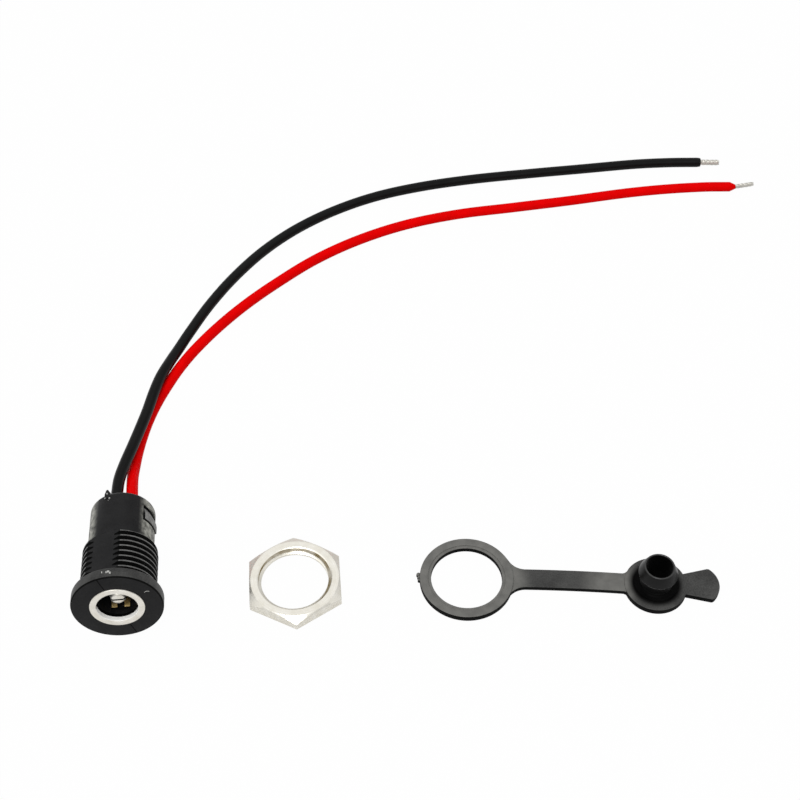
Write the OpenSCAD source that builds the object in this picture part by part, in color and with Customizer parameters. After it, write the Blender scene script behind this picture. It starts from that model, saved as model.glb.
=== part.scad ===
// Panel-mount DC power socket with two flying leads, its panel nut and its tethered sealing cap,
// lying apart on a flat surface at z = 0. Millimetres, +Z up, +Y towards the far ends of the leads.
// The socket is drawn in a frame of its own: Z runs from the flange's face to the rear, -Y is up.

/* [Flange and thread] */
// Diameter of the flange
flange_d = 13.6; // [13:0.1:16]
// Thickness of the flange
flange_t = 1.9; // [1.6:0.1:3]
// Rounding of the flange's two edges
flange_edge_r = 0.25; // [0.1:0.05:0.5]
// Outside diameter of the panel thread
thread_d = 11.4; // [10.8:0.1:12]
// Length of the panel thread
thread_l = 8.7; // [8.4:0.1:12]
// Chamfer at the rear end of the thread
thread_chamfer = 0.4; // [0.1:0.05:0.6]
// Distance across the two flats of the thread
flats_w = 10; // [9.4:0.1:10.6]
// Turn of the flats and the mould parting line, from the top towards the right
parting_turn = -21; // [-60:1:60]

/* [Rear stub and cover] */
// Length of the stub behind the thread
stub_l = 6.6; // [5.6:0.1:9]
// Wall of the stub round the solder joints
stub_wall = 0.75; // [0.6:0.05:0.8]
// Diameter of the cover clipped over the stub
cover_d = 10; // [9:0.1:11]
// Wall of the cover round the stub
cover_wall = 0.85; // [0.6:0.05:1]
// Thickness of the cover's end wall
cover_end_t = 1.1; // [0.9:0.05:1.3]
// Rounding of the cover's rear edge
cover_edge_r = 0.8; // [0.3:0.05:0.9]
// Seam between the cover and the end of the thread
cover_seam = 0.05; // [0.02:0.01:0.1]
// Radial clearance between the cover and the stub
cover_gap = 0.05; // [0.02:0.01:0.1]
// Turn of the first latch, from the top towards the right
latch_turn = 74; // [40:1:100]
// Distance from the low ends of the latch lugs to the end of the stub
lug_back = 0.2; // [0.1:0.05:0.6]
// Length of each latch lug
lug_l = 2.65; // [2:0.05:3]
// Length of each lug's flat land, in front of its ramp
lug_land = 1.2; // [0.3:0.05:1.6]
// Width of each latch lug
lug_w = 3.9; // [3:0.1:4.4]
// How far the middle of a lug's land stands proud of the cover
lug_proud = 0.05; // [0:0.05:0.3]
// Height of the low end of a lug's ramp above the stub
lug_low = 0.5; // [0.1:0.05:0.7]
// Gap round each lug in its window
window_gap = 0.3; // [0.15:0.05:0.4]
// Base diameter of the gate mark on the cover's rear edge
gate_d = 1; // [0.5:0.05:1.2]
// Height of the gate mark
gate_h = 1.7; // [1:0.1:2]

/* [Plug bore] */
// Diameter of the plug bore
bore_d = 6.1; // [5.8:0.1:6.3]
// Depth of the plug bore, from the flange's face to its floor
bore_l = 10; // [9:0.1:11.2]
// Thickness of the floor that holds the contacts
floor_t = 2.2; // [1.8:0.1:2.4]
// Outside diameter of the mouth ring
ring_d = 8.1; // [7.6:0.1:9]
// Depth of the mouth ring's seat in the flange
ring_seat = 1.2; // [0.8:0.1:1.4]
// How far the mouth ring stands proud of the flange
ring_proud = 0.15; // [0.05:0.05:0.3]
// Rounding of the mouth ring's front edges
ring_edge_r = 0.15; // [0.05:0.05:0.35]

/* [Contacts] */
// Diameter of the centre pin
pin_d = 2.4; // [1.9:0.1:2.5]
// Distance from the flange's face back to the pin's tip
pin_recess = 1.4; // [0.6:0.1:2.5]
// Width of the slit that splits the pin
slit_w = 0.3; // [0.2:0.05:0.5]
// Length of the slit
slit_l = 3; // [2:0.1:5]
// Diameter of the pin's shank in the floor
shank_d = 1.5; // [1.2:0.1:1.7]
// Diameter of the pin's solder tail
tail_d = 0.9; // [0.7:0.05:1]
// Gap between the ends of both solder tails and the seal
tail_gap = 1; // [0.6:0.1:1.5]
// Width of the sleeve spring
leaf_w = 2.8; // [2.6:0.1:3]
// Thickness of the sleeve spring's strip
leaf_t = 0.25; // [0.15:0.05:0.3]
// Width of the gap between the spring's two prongs
fork_w = 1; // [0.6:0.1:1.2]
// Distance from the flange's face back to the prongs' tips
leaf_recess = 2.4; // [2:0.1:3]
// Depth of the spring's groove below the bore's wall
groove_depth = 0.45; // [0.4:0.05:0.6]
// How far the prongs bow out of the groove into the bore
leaf_rise = 0.9; // [0.6:0.05:1.1]

/* [Leads] */
// Diameter of each insulated lead
lead_d = 1.9; // [1.4:0.1:2]
// Distance between the leads where they leave the cover
lead_pitch = 2.6; // [2.5:0.1:2.8]
// Length of the seal's plug inside the stub
seal_l = 1; // [0.6:0.1:1.2]
// Thickness of the seal's flange, between the stub and the cover's end wall
seal_t = 0.7; // [0.5:0.05:1]
// Radial clearance round each lead in the seal
seal_gap = 0.05; // [0.02:0.01:0.15]
// Radial clearance round each lead in the cover
lead_gap = 0.2; // [0.1:0.05:0.25]
// Diameter of the stripped conductors inside
conductor_d = 0.95; // [0.8:0.05:1]
// Length of each solder joint
joint_l = 1.3; // [0.8:0.1:1.5]
// Thickness of the solder round a conductor
solder_t = 0.1; // [0.06:0.01:0.12]
// Diameter of the black lead's tinned end
black_tin_d = 1; // [0.7:0.05:1.2]
// Length of the black lead's tinned end
black_tin_l = 3.5; // [2:0.1:8]
// Diameter of the red lead's tinned end
red_tin_d = 0.85; // [0.7:0.05:1.2]
// Length of the red lead's tinned end
red_tin_l = 3.8; // [2:0.1:8]

/* [Panel nut] */
// Width of the nut across its flats
nut_af = 14; // [13.4:0.1:16]
// Thickness of the nut
nut_t = 2; // [1.5:0.1:4]
// Bore of the nut, at the crests of its thread
nut_bore_d = 10.4; // [9.8:0.1:11]
// Countersink at both mouths of the nut's bore
nut_mouth_d = 11.6; // [11.2:0.1:12]
// Diameter of the round face that the top chamfer leaves
nut_face_d = 13.6; // [12.6:0.1:14]

/* [Sealing cap] */
// Outside diameter of the cap's ring
cap_ring_d = 14.5; // [13.4:0.1:16]
// Hole of the cap's ring, which stretches over the panel thread
cap_hole_d = 11; // [10:0.1:12]
// Thickness of the ring
cap_ring_t = 1.2; // [1.1:0.05:1.5]
// Distance from the ring's centre to the disc's centre
tether_reach = 29.1; // [24:0.1:40]
// Width of the tether
tether_w = 3.25; // [2:0.05:4]
// Thickness of the tether
tether_t = 1; // [0.6:0.05:1.05]
// How far the tether bows sideways at its middle
tether_bow = 0.4; // [0.2:0.05:1.5]
// Fillet between the tether and the ring
ring_fillet_r = 3; // [1:0.1:4]
// Fillet between the tether and the disc
disc_fillet_r = 0.8; // [0.4:0.1:2]
// Diameter of the disc that covers the flange's mouth
disc_d = 9.6; // [8.6:0.1:12]
// Thickness of the disc
disc_t = 1.15; // [1.1:0.05:1.6]
// Height of the plug above the disc
plug_h = 4.7; // [4:0.1:6]
// Diameter of the collar at the plug's root
collar_d = 6.7; // [6:0.1:7.4]
// Height of that collar
collar_t = 0.4; // [0.2:0.05:0.6]
// Diameter of the plug's neck
neck_d = 5; // [4.6:0.1:5.4]
// Diameter of the plug's barb
barb_d = 6; // [5.6:0.1:6.2]
// Height of the barb above the disc
barb_h = 3; // [2.5:0.1:3.4]
// Diameter of the plug's tip
tip_d = 4.7; // [4.2:0.1:5]
// Diameter of the hollow in the plug
hollow_d = 4.1; // [3:0.1:4.3]
// Depth of that hollow
hollow_l = 4.2; // [2:0.1:4.4]
// Distance from the disc's centre to the tab's end
tab_reach = 9.85; // [8:0.05:14]
// Width of the tab where it leaves the disc
tab_root_w = 3.9; // [2.5:0.1:5]
// Width that the tab's flared sides reach at its end
tab_end_w = 6.3; // [5.2:0.1:7]
// Radius of the tab's rounded end
tab_nose_r = 3.6; // [3.1:0.1:5]
// Thickness of the tab
tab_t = 1.1; // [0.8:0.05:1.1]
// Turn of the tab from the line through the centres of the ring and the disc
tab_turn = 2.5; // [-5:0.5:5]

/* [Layout] */
// Place of the flange's centre, left to right
socket_x = -41.8; // [-60:0.1:-38]
// Place of the flange's centre, front to back
socket_y = -9.5; // [-20:0.1:0]
// Turn of the socket on the surface
socket_turn = 5.5; // [-10:0.5:15]
// Place of the nut, left to right
nut_x = -16.4; // [-24:0.1:-10]
// Place of the nut, front to back
nut_y = -1; // [-12:0.1:12]
// Turn of the nut
nut_turn = 4.5; // [-30:0.5:30]
// Place of the cap's ring, left to right
cap_x = 10.1; // [4:0.1:30]
// Place of the cap's ring, front to back
cap_y = -0.3; // [-12:0.1:12]
// Turn of the cap
cap_turn = -2.4; // [-30:0.1:30]

/* [Hidden] */
$fn = 96;
eps = 0.5;
arc_steps = 6;

// Small steps inside the socket
joint_inset = 0.2;
lead_inset = 0.2;
crown_l = 1.8;
shoulder_l = 0.9;
heel_l = 2.2;
way_depth = 1;
way_lead = 0.4;
bend_room = 0.9;
floor_relief = 0.1;
foot_relief = 0.2;
gate_inset = 0.35;
gate_setback = 1.1;
gate_lean = 17;
exit_l = 0.6;

// Stations along the socket's axis, from the flange's face
thread_end = flange_t + thread_l;
stub_end = thread_end + stub_l;
cover_start = thread_end + cover_seam;
cover_floor = stub_end + seal_t;
socket_l = cover_floor + cover_end_t;
floor_back = bore_l + floor_t;
lug_setback = stub_l - lug_back - lug_l;
lug_start = thread_end + lug_setback;
seal_start = stub_end - seal_l;
lead_start = seal_start - lead_inset;
tail_l = seal_start - tail_gap - floor_back;
joint_start = floor_back + tail_l - joint_inset - joint_l;
conductor_start = joint_start - joint_inset;

// Radii behind the thread
stub_d = cover_d - 2 * (cover_wall + cover_gap);
stub_r = stub_d / 2;
cavity_r = stub_r - stub_wall;
cover_bore_r = stub_r + cover_gap;
lug_face_r = cover_d / 2 + lug_proud;

// The sleeve spring: its faces lie below the axis, so towards +Y
groove_r = bore_d / 2 + groove_depth;
groove_gap = 0.05;
leaf_y = groove_r - groove_gap - leaf_t;
leaf_tip_y = leaf_y - leaf_rise * 0.4;
leaf_crown_z = leaf_recess + crown_l;
leaf_heel_z = bore_l - heel_l;
leaf_bend_z = floor_back + leaf_t + groove_gap;
leaf_tail_w = 0.7;
solder_film = 0.05;
leaf_tail_y = conductor_d / 2 + solder_film;

// The flange's back edge and the cover's rear edge both touch the surface, which tilts the axis
front_r = flange_d / 2 - flange_edge_r;
front_z = flange_t - flange_edge_r;
rear_drop = front_r - (cover_d / 2 - cover_edge_r);
rear_run = socket_l - cover_edge_r - front_z;
socket_tilt = atan2(rear_drop, rear_run)
    - asin((cover_edge_r - flange_edge_r) / norm([rear_drop, rear_run]));
socket_z = front_r * cos(socket_tilt) + front_z * sin(socket_tilt) + flange_edge_r;

// The tether's bow is an arc through the centres of the ring and the disc
bow_r = (pow(tether_reach / 2, 2) + pow(tether_bow, 2)) / (2 * tether_bow);
bow_half = asin(tether_reach / 2 / bow_r);
bow_deg_per_mm = 180 / PI / bow_r;

// How far the fillets' arcs run into the ring, the disc and the tether
web_bite = 0.08;

// The leads' routes: straight out of the cover, down to the surface and along it, black over red
lead_z = lead_d / 2;
over_z = lead_z + lead_d + 0.1;
black_route = concat(exit_points(-1), [
    [-45.2, 13.2, 4.5], [-45.3, 16.4, 4.2], [-44.9, 20, 3.8], [-44.2, 24, 3.4], [-43.5, 28, 3.1],
    [-42.8, 32, over_z], [-42.2, 36, over_z], [-41.5, 40, 2.65], [-40.5, 44, 1.95], [-39.3, 48, 1.3],
    [-37.9, 52, lead_z + 0.12], [-34.9, 59.2, lead_z + 0.02], [-30.9, 66.6, lead_z], [-25.9, 73.7, lead_z],
    [-20, 79.8, lead_z], [-13, 85, lead_z], [-5, 89.2, lead_z], [4, 92.2, lead_z],
    [14, 94.4, lead_z], [25, 96.1, lead_z], [36, 97.6, lead_z], [47, 99.1, lead_z],
    [54, 99.6, lead_z], [60.2, 99.7, lead_z]
]);
red_route = concat(exit_points(1), [
    [-42.8, 12.8, 4.2], [-43.2, 15.4, 3.5], [-43.6, 18.2, 2.5], [-43.8, 21, 1.55], [-43.8, 24, 1.1],
    [-43.5, 27.5, lead_z + 0.03], [-42.9, 31.3, lead_z], [-41.9, 35.3, lead_z], [-40.5, 39.4, lead_z],
    [-38.8, 43.6, lead_z], [-36.5, 48, lead_z], [-32.9, 53.5, lead_z], [-28.4, 59.2, lead_z],
    [-22.9, 65, lead_z], [-16, 71.3, lead_z], [-8, 76.7, lead_z], [1, 81, lead_z],
    [11, 84, lead_z], [22, 86, lead_z], [33, 88, lead_z], [44, 90.2, lead_z],
    [52, 91.4, lead_z], [60, 92.1, lead_z], [66.1, 92.2, lead_z]
]);
lead_step = 5.6;
lead_sides = 8;

// The place on the surface of a point x beside the socket's axis and z along it
function at_socket(x, z) = [
    socket_x + x * cos(socket_turn) - z * cos(socket_tilt) * sin(socket_turn),
    socket_y + x * sin(socket_turn) + z * cos(socket_tilt) * cos(socket_turn),
    socket_z - z * sin(socket_tilt)
];

// A lead's first points, from inside the socket to just behind the cover, on the side -1 or 1
function exit_points(side) = [
    for (z = [lead_start, cover_floor, socket_l + exit_l]) at_socket(side * lead_pitch / 2, z)
];

// Points on an arc of radius r round c, from angle a to angle b
function arc(c, r, a, b) = [
    for (i = [0 : arc_steps]) let (t = a + (b - a) * i / arc_steps) c + r * [cos(t), sin(t)]
];

function unit(v) = v / norm(v);

// A point of the smooth curve through four route points, between the middle two
function curve_point(a, b, c, d, t) =
    0.5 * (2 * b + (c - a) * t + (2 * a - 5 * b + 4 * c - d) * t * t
        + (3 * b - a - 3 * c + d) * t * t * t);

// The smooth curve through a whole route, with points no further apart than lead_step
function smooth_route(p) = let (last = len(p) - 1) [
    for (i = [0 : last - 1])
        let (n = ceil(norm(p[i + 1] - p[i]) / lead_step))
            for (k = [0 : n - 1])
                curve_point(p[max(i - 1, 0)], p[i], p[i + 1], p[min(i + 2, last)], k / n),
    p[last]
];

// The octagon round point i of a smooth route, square to the route there
function lead_ring(p, i) =
    let (
        along = unit(p[min(i + 1, len(p) - 1)] - p[max(i - 1, 0)]),
        side = unit(cross(along, [0, 0, 1])),
        rise = cross(side, along)
    ) [
        for (k = [0 : lead_sides - 1])
            let (a = 360 * k / lead_sides) p[i] + lead_d / 2 * (cos(a) * side + sin(a) * rise)
    ];

// The direction, seen from above, in which a smooth route ends
function heading(p) = let (d = p[len(p) - 1] - p[len(p) - 2]) atan2(d[1], d[0]);

// Puts a shape of the socket's own frame where the socket lies on the surface
module on_socket() {
    translate([socket_x, socket_y, socket_z])
        rotate([-90 - socket_tilt, 0, socket_turn])
            children();
}

// Extrudes an outline given as [Y, Z] points across X, centred on the axis
module across(width) {
    translate([-width / 2, 0, 0])
        rotate([90, 0, 90])
            linear_extrude(width)
                children();
}

module socket_profile() {
    polygon(concat(
        [[ring_d / 2, 0]],
        arc([front_r, flange_edge_r], flange_edge_r, -90, 0),
        arc([front_r, front_z], flange_edge_r, 0, 90),
        [
            [stub_r, flange_t],
            [stub_r, stub_end],
            [cavity_r, stub_end],
            [cavity_r, floor_back],
            [shank_d / 2, floor_back],
            [shank_d / 2, bore_l],
            [bore_d / 2, bore_l],
            [bore_d / 2, ring_seat],
            [ring_d / 2, ring_seat]
        ]
    ));
}

// The threaded sleeve round the stub, rooted in the flange, with its two flats
module threaded_sleeve() {
    core_r = (bore_d / 2 + stub_r) / 2;
    root_z = flange_t - flange_edge_r;
    intersection() {
        rotate_extrude()
            polygon([
                [core_r, root_z],
                [thread_d / 2, root_z],
                [thread_d / 2, thread_end - thread_chamfer],
                [thread_d / 2 - thread_chamfer, thread_end],
                [core_r, thread_end]
            ]);
        rotate([0, 0, parting_turn])
            translate([-thread_d, -flats_w / 2, 0])
                cube([2 * thread_d, flats_w, socket_l]);
    }
}

module latch_lug() {
    root = -stub_r + stub_wall / 2;
    lug_end = lug_start + lug_l;
    across(lug_w)
        polygon([
            [root, lug_start],
            [-lug_face_r, lug_start],
            [-lug_face_r, lug_start + lug_land],
            [-stub_r - lug_low, lug_end],
            [root, lug_end]
        ]);
}

// The way of the sleeve spring: its groove in the bore, its slot in the floor and room for its bend
module spring_way() {
    across(leaf_w + 2 * groove_gap)
        polygon([
            [bore_d / 2 - way_depth, leaf_recess - way_lead],
            [groove_r, leaf_recess - way_lead],
            [groove_r, leaf_bend_z + groove_gap],
            [cavity_r - bend_room, leaf_bend_z + groove_gap],
            [cavity_r - bend_room, floor_back - floor_relief],
            [leaf_y - groove_gap, floor_back - floor_relief],
            [leaf_y - groove_gap, bore_l + foot_relief],
            [bore_d / 2 - way_depth, bore_l + foot_relief]
        ]);
}

module socket_body() {
    color("#1b1b1c") on_socket()
        difference() {
            union() {
                rotate_extrude()
                    socket_profile();
                threaded_sleeve();
                for (half = [0, 180])
                    rotate([0, 0, latch_turn + half])
                        latch_lug();
            }
            spring_way();
        }
}

module latch_windows() {
    for (half = [0, 180])
        rotate([0, 0, latch_turn + half])
            translate([-lug_w / 2 - window_gap, -cover_d / 2 - eps, lug_start - window_gap])
                cube([lug_w + 2 * window_gap, cover_d / 4, lug_l + 2 * window_gap]);
}

// The leaning stub of the moulding's gate, left on the cover's rear edge
module gate_mark() {
    rotate([0, 0, parting_turn])
        translate([0, -cover_d / 2 + gate_inset, socket_l - gate_setback])
            rotate([gate_lean, 0, 0])
                cylinder(d1 = gate_d, d2 = gate_d / 3, h = gate_h);
}

module rear_cover() {
    color("#222223") on_socket()
        difference() {
            union() {
                rotate_extrude()
                    polygon(concat(
                        [[cover_bore_r, cover_start], [cover_d / 2, cover_start]],
                        arc([cover_d / 2 - cover_edge_r, socket_l - cover_edge_r], cover_edge_r, 0, 90),
                        [[0, socket_l], [0, cover_floor], [cover_bore_r, cover_floor]]
                    ));
                gate_mark();
            }
            latch_windows();
            for (side = [-1, 1])
                translate([side * lead_pitch / 2, 0, cover_floor - eps])
                    cylinder(d = lead_d + 2 * lead_gap, h = cover_end_t + 2 * eps);
        }
}

module lead_seal() {
    color("#3a3a3a") on_socket()
        difference() {
            rotate_extrude()
                polygon([
                    [0, seal_start],
                    [cavity_r, seal_start],
                    [cavity_r, stub_end],
                    [stub_r, stub_end],
                    [stub_r, cover_floor],
                    [0, cover_floor]
                ]);
            for (side = [-1, 1])
                translate([side * lead_pitch / 2, 0, seal_start - eps])
                    cylinder(d = lead_d + 2 * seal_gap, h = cover_floor - seal_start + 2 * eps);
        }
}

module mouth_ring() {
    inner_r = bore_d / 2;
    outer_r = ring_d / 2;
    lip_z = ring_edge_r - ring_proud;
    color("#d8d0c0") on_socket()
        rotate_extrude()
            polygon(concat(
                [[inner_r, ring_seat]],
                arc([inner_r + ring_edge_r, lip_z], ring_edge_r, 180, 270),
                arc([outer_r - ring_edge_r, lip_z], ring_edge_r, 270, 360),
                [[outer_r, ring_seat]]
            ));
}

module centre_pin() {
    pin_r = pin_d / 2;
    dome_r = pin_r * 0.5;
    color("#d9d7d2") on_socket()
        difference() {
            rotate_extrude()
                polygon(concat(
                    [[0, pin_recess]],
                    arc([pin_r - dome_r, pin_recess + dome_r], dome_r, -90, 0),
                    [
                        [pin_r, bore_l],
                        [shank_d / 2, bore_l],
                        [shank_d / 2, floor_back],
                        [tail_d / 2, floor_back],
                        [tail_d / 2, floor_back + tail_l],
                        [0, floor_back + tail_l]
                    ]
                ));
            translate([-pin_d, -slit_w / 2, pin_recess - eps])
                cube([2 * pin_d, slit_w, slit_l + eps]);
        }
}

module spring_strip() {
    inner = [
        [leaf_tip_y, leaf_recess],
        [leaf_y - leaf_rise * 0.85, leaf_crown_z - shoulder_l],
        [leaf_y - leaf_rise, leaf_crown_z],
        [leaf_y - leaf_rise * 0.85, leaf_crown_z + shoulder_l],
        [leaf_y, leaf_heel_z],
        [leaf_y, leaf_bend_z]
    ];
    last = len(inner) - 1;
    across(leaf_w)
        polygon(concat(inner, [for (i = [last : -1 : 0]) inner[i] + [leaf_t, 0]]));
}

module sleeve_spring() {
    color("#c9a45a") on_socket()
        difference() {
            union() {
                spring_strip();
                translate([-leaf_w / 2, leaf_tail_y, leaf_bend_z - leaf_t])
                    cube([leaf_tail_w, leaf_y - leaf_tail_y + leaf_t, leaf_t]);
                translate([-leaf_w / 2, leaf_tail_y, leaf_bend_z - leaf_t])
                    cube([leaf_tail_w, leaf_t, floor_back + tail_l - leaf_bend_z + leaf_t]);
            }
            translate([-fork_w / 2, 0, leaf_recess - eps])
                cube([fork_w, groove_r, leaf_heel_z - leaf_recess + eps]);
        }
}

// The stripped end of one lead inside the socket, on the side given as -1 or 1
module conductor(side) {
    translate([side * lead_pitch / 2, 0, conductor_start])
        cylinder(d = conductor_d, h = lead_start - conductor_start);
}

module red_conductor() {
    color("#c9c5ba") on_socket() conductor(1);
}

module black_conductor() {
    color("#c9c5ba") on_socket() conductor(-1);
}

module pin_solder() {
    color("#b9b9b9") on_socket()
        difference() {
            translate([0, 0, joint_start]) {
                cylinder(d = tail_d + 2 * solder_t, h = joint_l);
                translate([lead_pitch / 2, 0, 0])
                    cylinder(d = conductor_d + 2 * solder_t, h = joint_l);
                translate([0, -tail_d / 2, 0])
                    cube([lead_pitch / 2, tail_d, joint_l]);
            }
            translate([0, 0, joint_start - eps])
                cylinder(d = tail_d, h = joint_l + 2 * eps);
            conductor(1);
        }
}

module spring_solder() {
    color("#b9b9b9") on_socket()
        difference() {
            translate([-lead_pitch / 2, solder_t, joint_start])
                cylinder(d = conductor_d + 4 * solder_t, h = joint_l);
            conductor(-1);
            translate([-leaf_w / 2, leaf_tail_y, joint_start - eps])
                cube([leaf_tail_w, leaf_t, joint_l + 2 * eps]);
        }
}

module lead_tube(route) {
    path = smooth_route(route);
    rings = len(path);
    points = [for (i = [0 : rings - 1]) each lead_ring(path, i)];
    sides = [
        for (i = [0 : rings - 2], k = [0 : lead_sides - 1])
            let (a = i * lead_sides, b = a + lead_sides, n = (k + 1) % lead_sides)
                [a + k, b + k, b + n, a + n]
    ];
    near_cap = [for (k = [0 : lead_sides - 1]) k];
    far_cap = [for (k = [lead_sides - 1 : -1 : 0]) (rings - 1) * lead_sides + k];
    polyhedron(points, concat(sides, [near_cap, far_cap]));
}

module red_lead() {
    color("#d60a0a") lead_tube(red_route);
}

module black_lead() {
    color("#161617") lead_tube(black_route);
}

// The tinned strands that stand out of a lead's far end
module tinned_end(route, d, l) {
    translate(route[len(route) - 1])
        rotate([0, 90, heading(smooth_route(route))])
            rotate_extrude()
                polygon([[0, 0], [d / 2, 0], [d / 2, l - d / 3], [d / 3, l], [0, l]]);
}

module red_tinned_end() {
    color("#c9c5ba") tinned_end(red_route, red_tin_d, red_tin_l);
}

module black_tinned_end() {
    color("#c9c5ba") tinned_end(black_route, black_tin_d, black_tin_l);
}

module hex_nut() {
    corner_r = nut_af / 2 / cos(30);
    chamfer_h = (corner_r - nut_face_d / 2) * tan(30);
    sink = (nut_mouth_d - nut_bore_d) / 2;
    color("#d6cfc0")
        translate([nut_x, nut_y, 0])
            difference() {
                intersection() {
                    rotate([0, 0, nut_turn + 30])
                        linear_extrude(nut_t)
                            circle(r = corner_r, $fn = 6);
                    rotate_extrude()
                        polygon([
                            [0, 0],
                            [corner_r + eps, 0],
                            [corner_r + eps, nut_t - chamfer_h - eps * tan(30)],
                            [nut_face_d / 2, nut_t],
                            [0, nut_t]
                        ]);
                }
                translate([0, 0, -eps])
                    cylinder(d = nut_bore_d, h = nut_t + 2 * eps);
                cylinder(d1 = nut_mouth_d, d2 = nut_bore_d, h = sink / 2);
                translate([0, 0, nut_t - sink / 2])
                    cylinder(d1 = nut_bore_d, d2 = nut_mouth_d, h = sink / 2);
            }
}

// The web between a round end of radius r and the tether, with a concave fillet on either side
module tether_web(r, fillet) {
    y = tether_w / 2 + fillet - web_bite;
    x = sqrt(pow(r + fillet - web_bite, 2) - y * y);
    rotate([0, 0, bow_half - x / 2 * bow_deg_per_mm])
        difference() {
            linear_extrude(tether_t)
                polygon([[0, 0], [x, -y], [x, y]]);
            for (side = [-1, 1])
                translate([x, side * y, -eps])
                    cylinder(r = fillet, h = tether_t + 2 * eps);
        }
}

module tether() {
    start = (cap_hole_d + cap_ring_d) / 4;
    end = 2 * bow_half / bow_deg_per_mm - disc_d / 4;
    translate([tether_reach / 2, tether_bow - bow_r, 0])
        rotate([0, 0, 90 + bow_half - end * bow_deg_per_mm])
            rotate_extrude(angle = (end - start) * bow_deg_per_mm)
                translate([bow_r - tether_w / 2, 0])
                    square([tether_w, tether_t]);
}

module cap_plug() {
    neck_z = collar_t + (collar_d - neck_d) / 4;
    translate([0, 0, disc_t])
        rotate_extrude()
            polygon([
                [0, -disc_t / 2],
                [collar_d / 2, -disc_t / 2],
                [collar_d / 2, collar_t / 2],
                [neck_d / 2, neck_z],
                [neck_d / 2, barb_h - (barb_d - neck_d)],
                [barb_d / 2, barb_h],
                [tip_d / 2, plug_h],
                [0, plug_h]
            ]);
}

module cap_tab() {
    flare = (tab_end_w - tab_root_w) / 2 / (tab_reach - disc_d / 2);
    inner_w = tab_root_w / 2 - flare * disc_d / 4;
    intersection() {
        linear_extrude(tab_t)
            polygon([
                [disc_d / 4, -inner_w],
                [tab_reach, -tab_end_w / 2],
                [tab_reach, tab_end_w / 2],
                [disc_d / 4, inner_w]
            ]);
        translate([tab_reach - tab_nose_r, 0, -eps])
            cylinder(r = tab_nose_r, h = tab_t + 2 * eps);
    }
}

module sealing_cap() {
    color("#2b2b2c")
        translate([cap_x, cap_y, 0])
            rotate([0, 0, cap_turn])
                difference() {
                    union() {
                        cylinder(d = cap_ring_d, h = cap_ring_t);
                        tether_web(cap_ring_d / 2, ring_fillet_r);
                        tether();
                        translate([tether_reach, 0, 0]) {
                            mirror([1, 0, 0])
                                tether_web(disc_d / 2, disc_fillet_r);
                            cylinder(d = disc_d, h = disc_t);
                            cap_plug();
                            rotate([0, 0, tab_turn])
                                cap_tab();
                        }
                    }
                    translate([0, 0, -eps])
                        cylinder(d = cap_hole_d, h = cap_ring_t + 2 * eps);
                    translate([tether_reach, 0, disc_t + plug_h - hollow_l])
                        cylinder(d = hollow_d, h = hollow_l + eps);
                }
}

socket_body();
mouth_ring();
centre_pin();
sleeve_spring();
rear_cover();
lead_seal();
pin_solder();
spring_solder();
red_conductor();
black_conductor();
red_lead();
black_lead();
red_tinned_end();
black_tinned_end();
hex_nut();
sealing_cap();
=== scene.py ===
"""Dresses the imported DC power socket, its panel nut and its sealing cap for rendering.

Every sub-assembly is a dataclass that holds its sizes in millimetres and degrees and builds its own pieces.
Each piece is modelled in a local frame in millimetres and placed in the shared frame in metres.
The socket's local frame has Z from the flange's face to the rear and -Y upwards.
"""

from __future__ import annotations

import logging
import math
from collections.abc import Callable, Iterable, Sequence
from dataclasses import dataclass
from enum import Enum
from typing import Any

import bmesh
import bpy
from mathutils import Euler, Matrix, Vector

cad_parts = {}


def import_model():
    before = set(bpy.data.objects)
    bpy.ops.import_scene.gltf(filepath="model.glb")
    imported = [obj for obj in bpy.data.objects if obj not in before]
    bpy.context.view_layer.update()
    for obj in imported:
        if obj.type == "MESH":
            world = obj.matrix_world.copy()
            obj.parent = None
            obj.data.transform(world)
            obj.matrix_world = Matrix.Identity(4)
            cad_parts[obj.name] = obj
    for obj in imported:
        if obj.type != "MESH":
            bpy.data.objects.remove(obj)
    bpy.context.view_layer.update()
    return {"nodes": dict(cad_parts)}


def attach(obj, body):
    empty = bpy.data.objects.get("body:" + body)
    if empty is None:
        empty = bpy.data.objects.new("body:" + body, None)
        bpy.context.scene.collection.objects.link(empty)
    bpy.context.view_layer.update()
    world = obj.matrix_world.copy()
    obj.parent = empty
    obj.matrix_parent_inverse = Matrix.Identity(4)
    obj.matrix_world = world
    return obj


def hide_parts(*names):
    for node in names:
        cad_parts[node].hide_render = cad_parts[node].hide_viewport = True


LOG = logging.getLogger("dc_socket")
MM = 0.001
TURN = 2.0 * math.pi
WELD = 1e-5
NEAR = 1e-4
SKIN = 0.01
THREAD_STEPS = 180
UP = Vector((0.0, 0.0, 1.0))

Point2 = tuple[float, float]
Point3 = tuple[float, float, float]
Colour = tuple[float, float, float]
Look = dict[str, Any]
Output = bpy.types.NodeSocket
Face = bmesh.types.BMFace
Palette = dict["Coat", bpy.types.Material]


class Body(str, Enum):
    """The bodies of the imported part."""

    ROOT = "root"


class Lead(Enum):
    """The two flying leads, with the side of the socket's axis that each one leaves on."""

    BLACK = -1
    RED = 1


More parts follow.
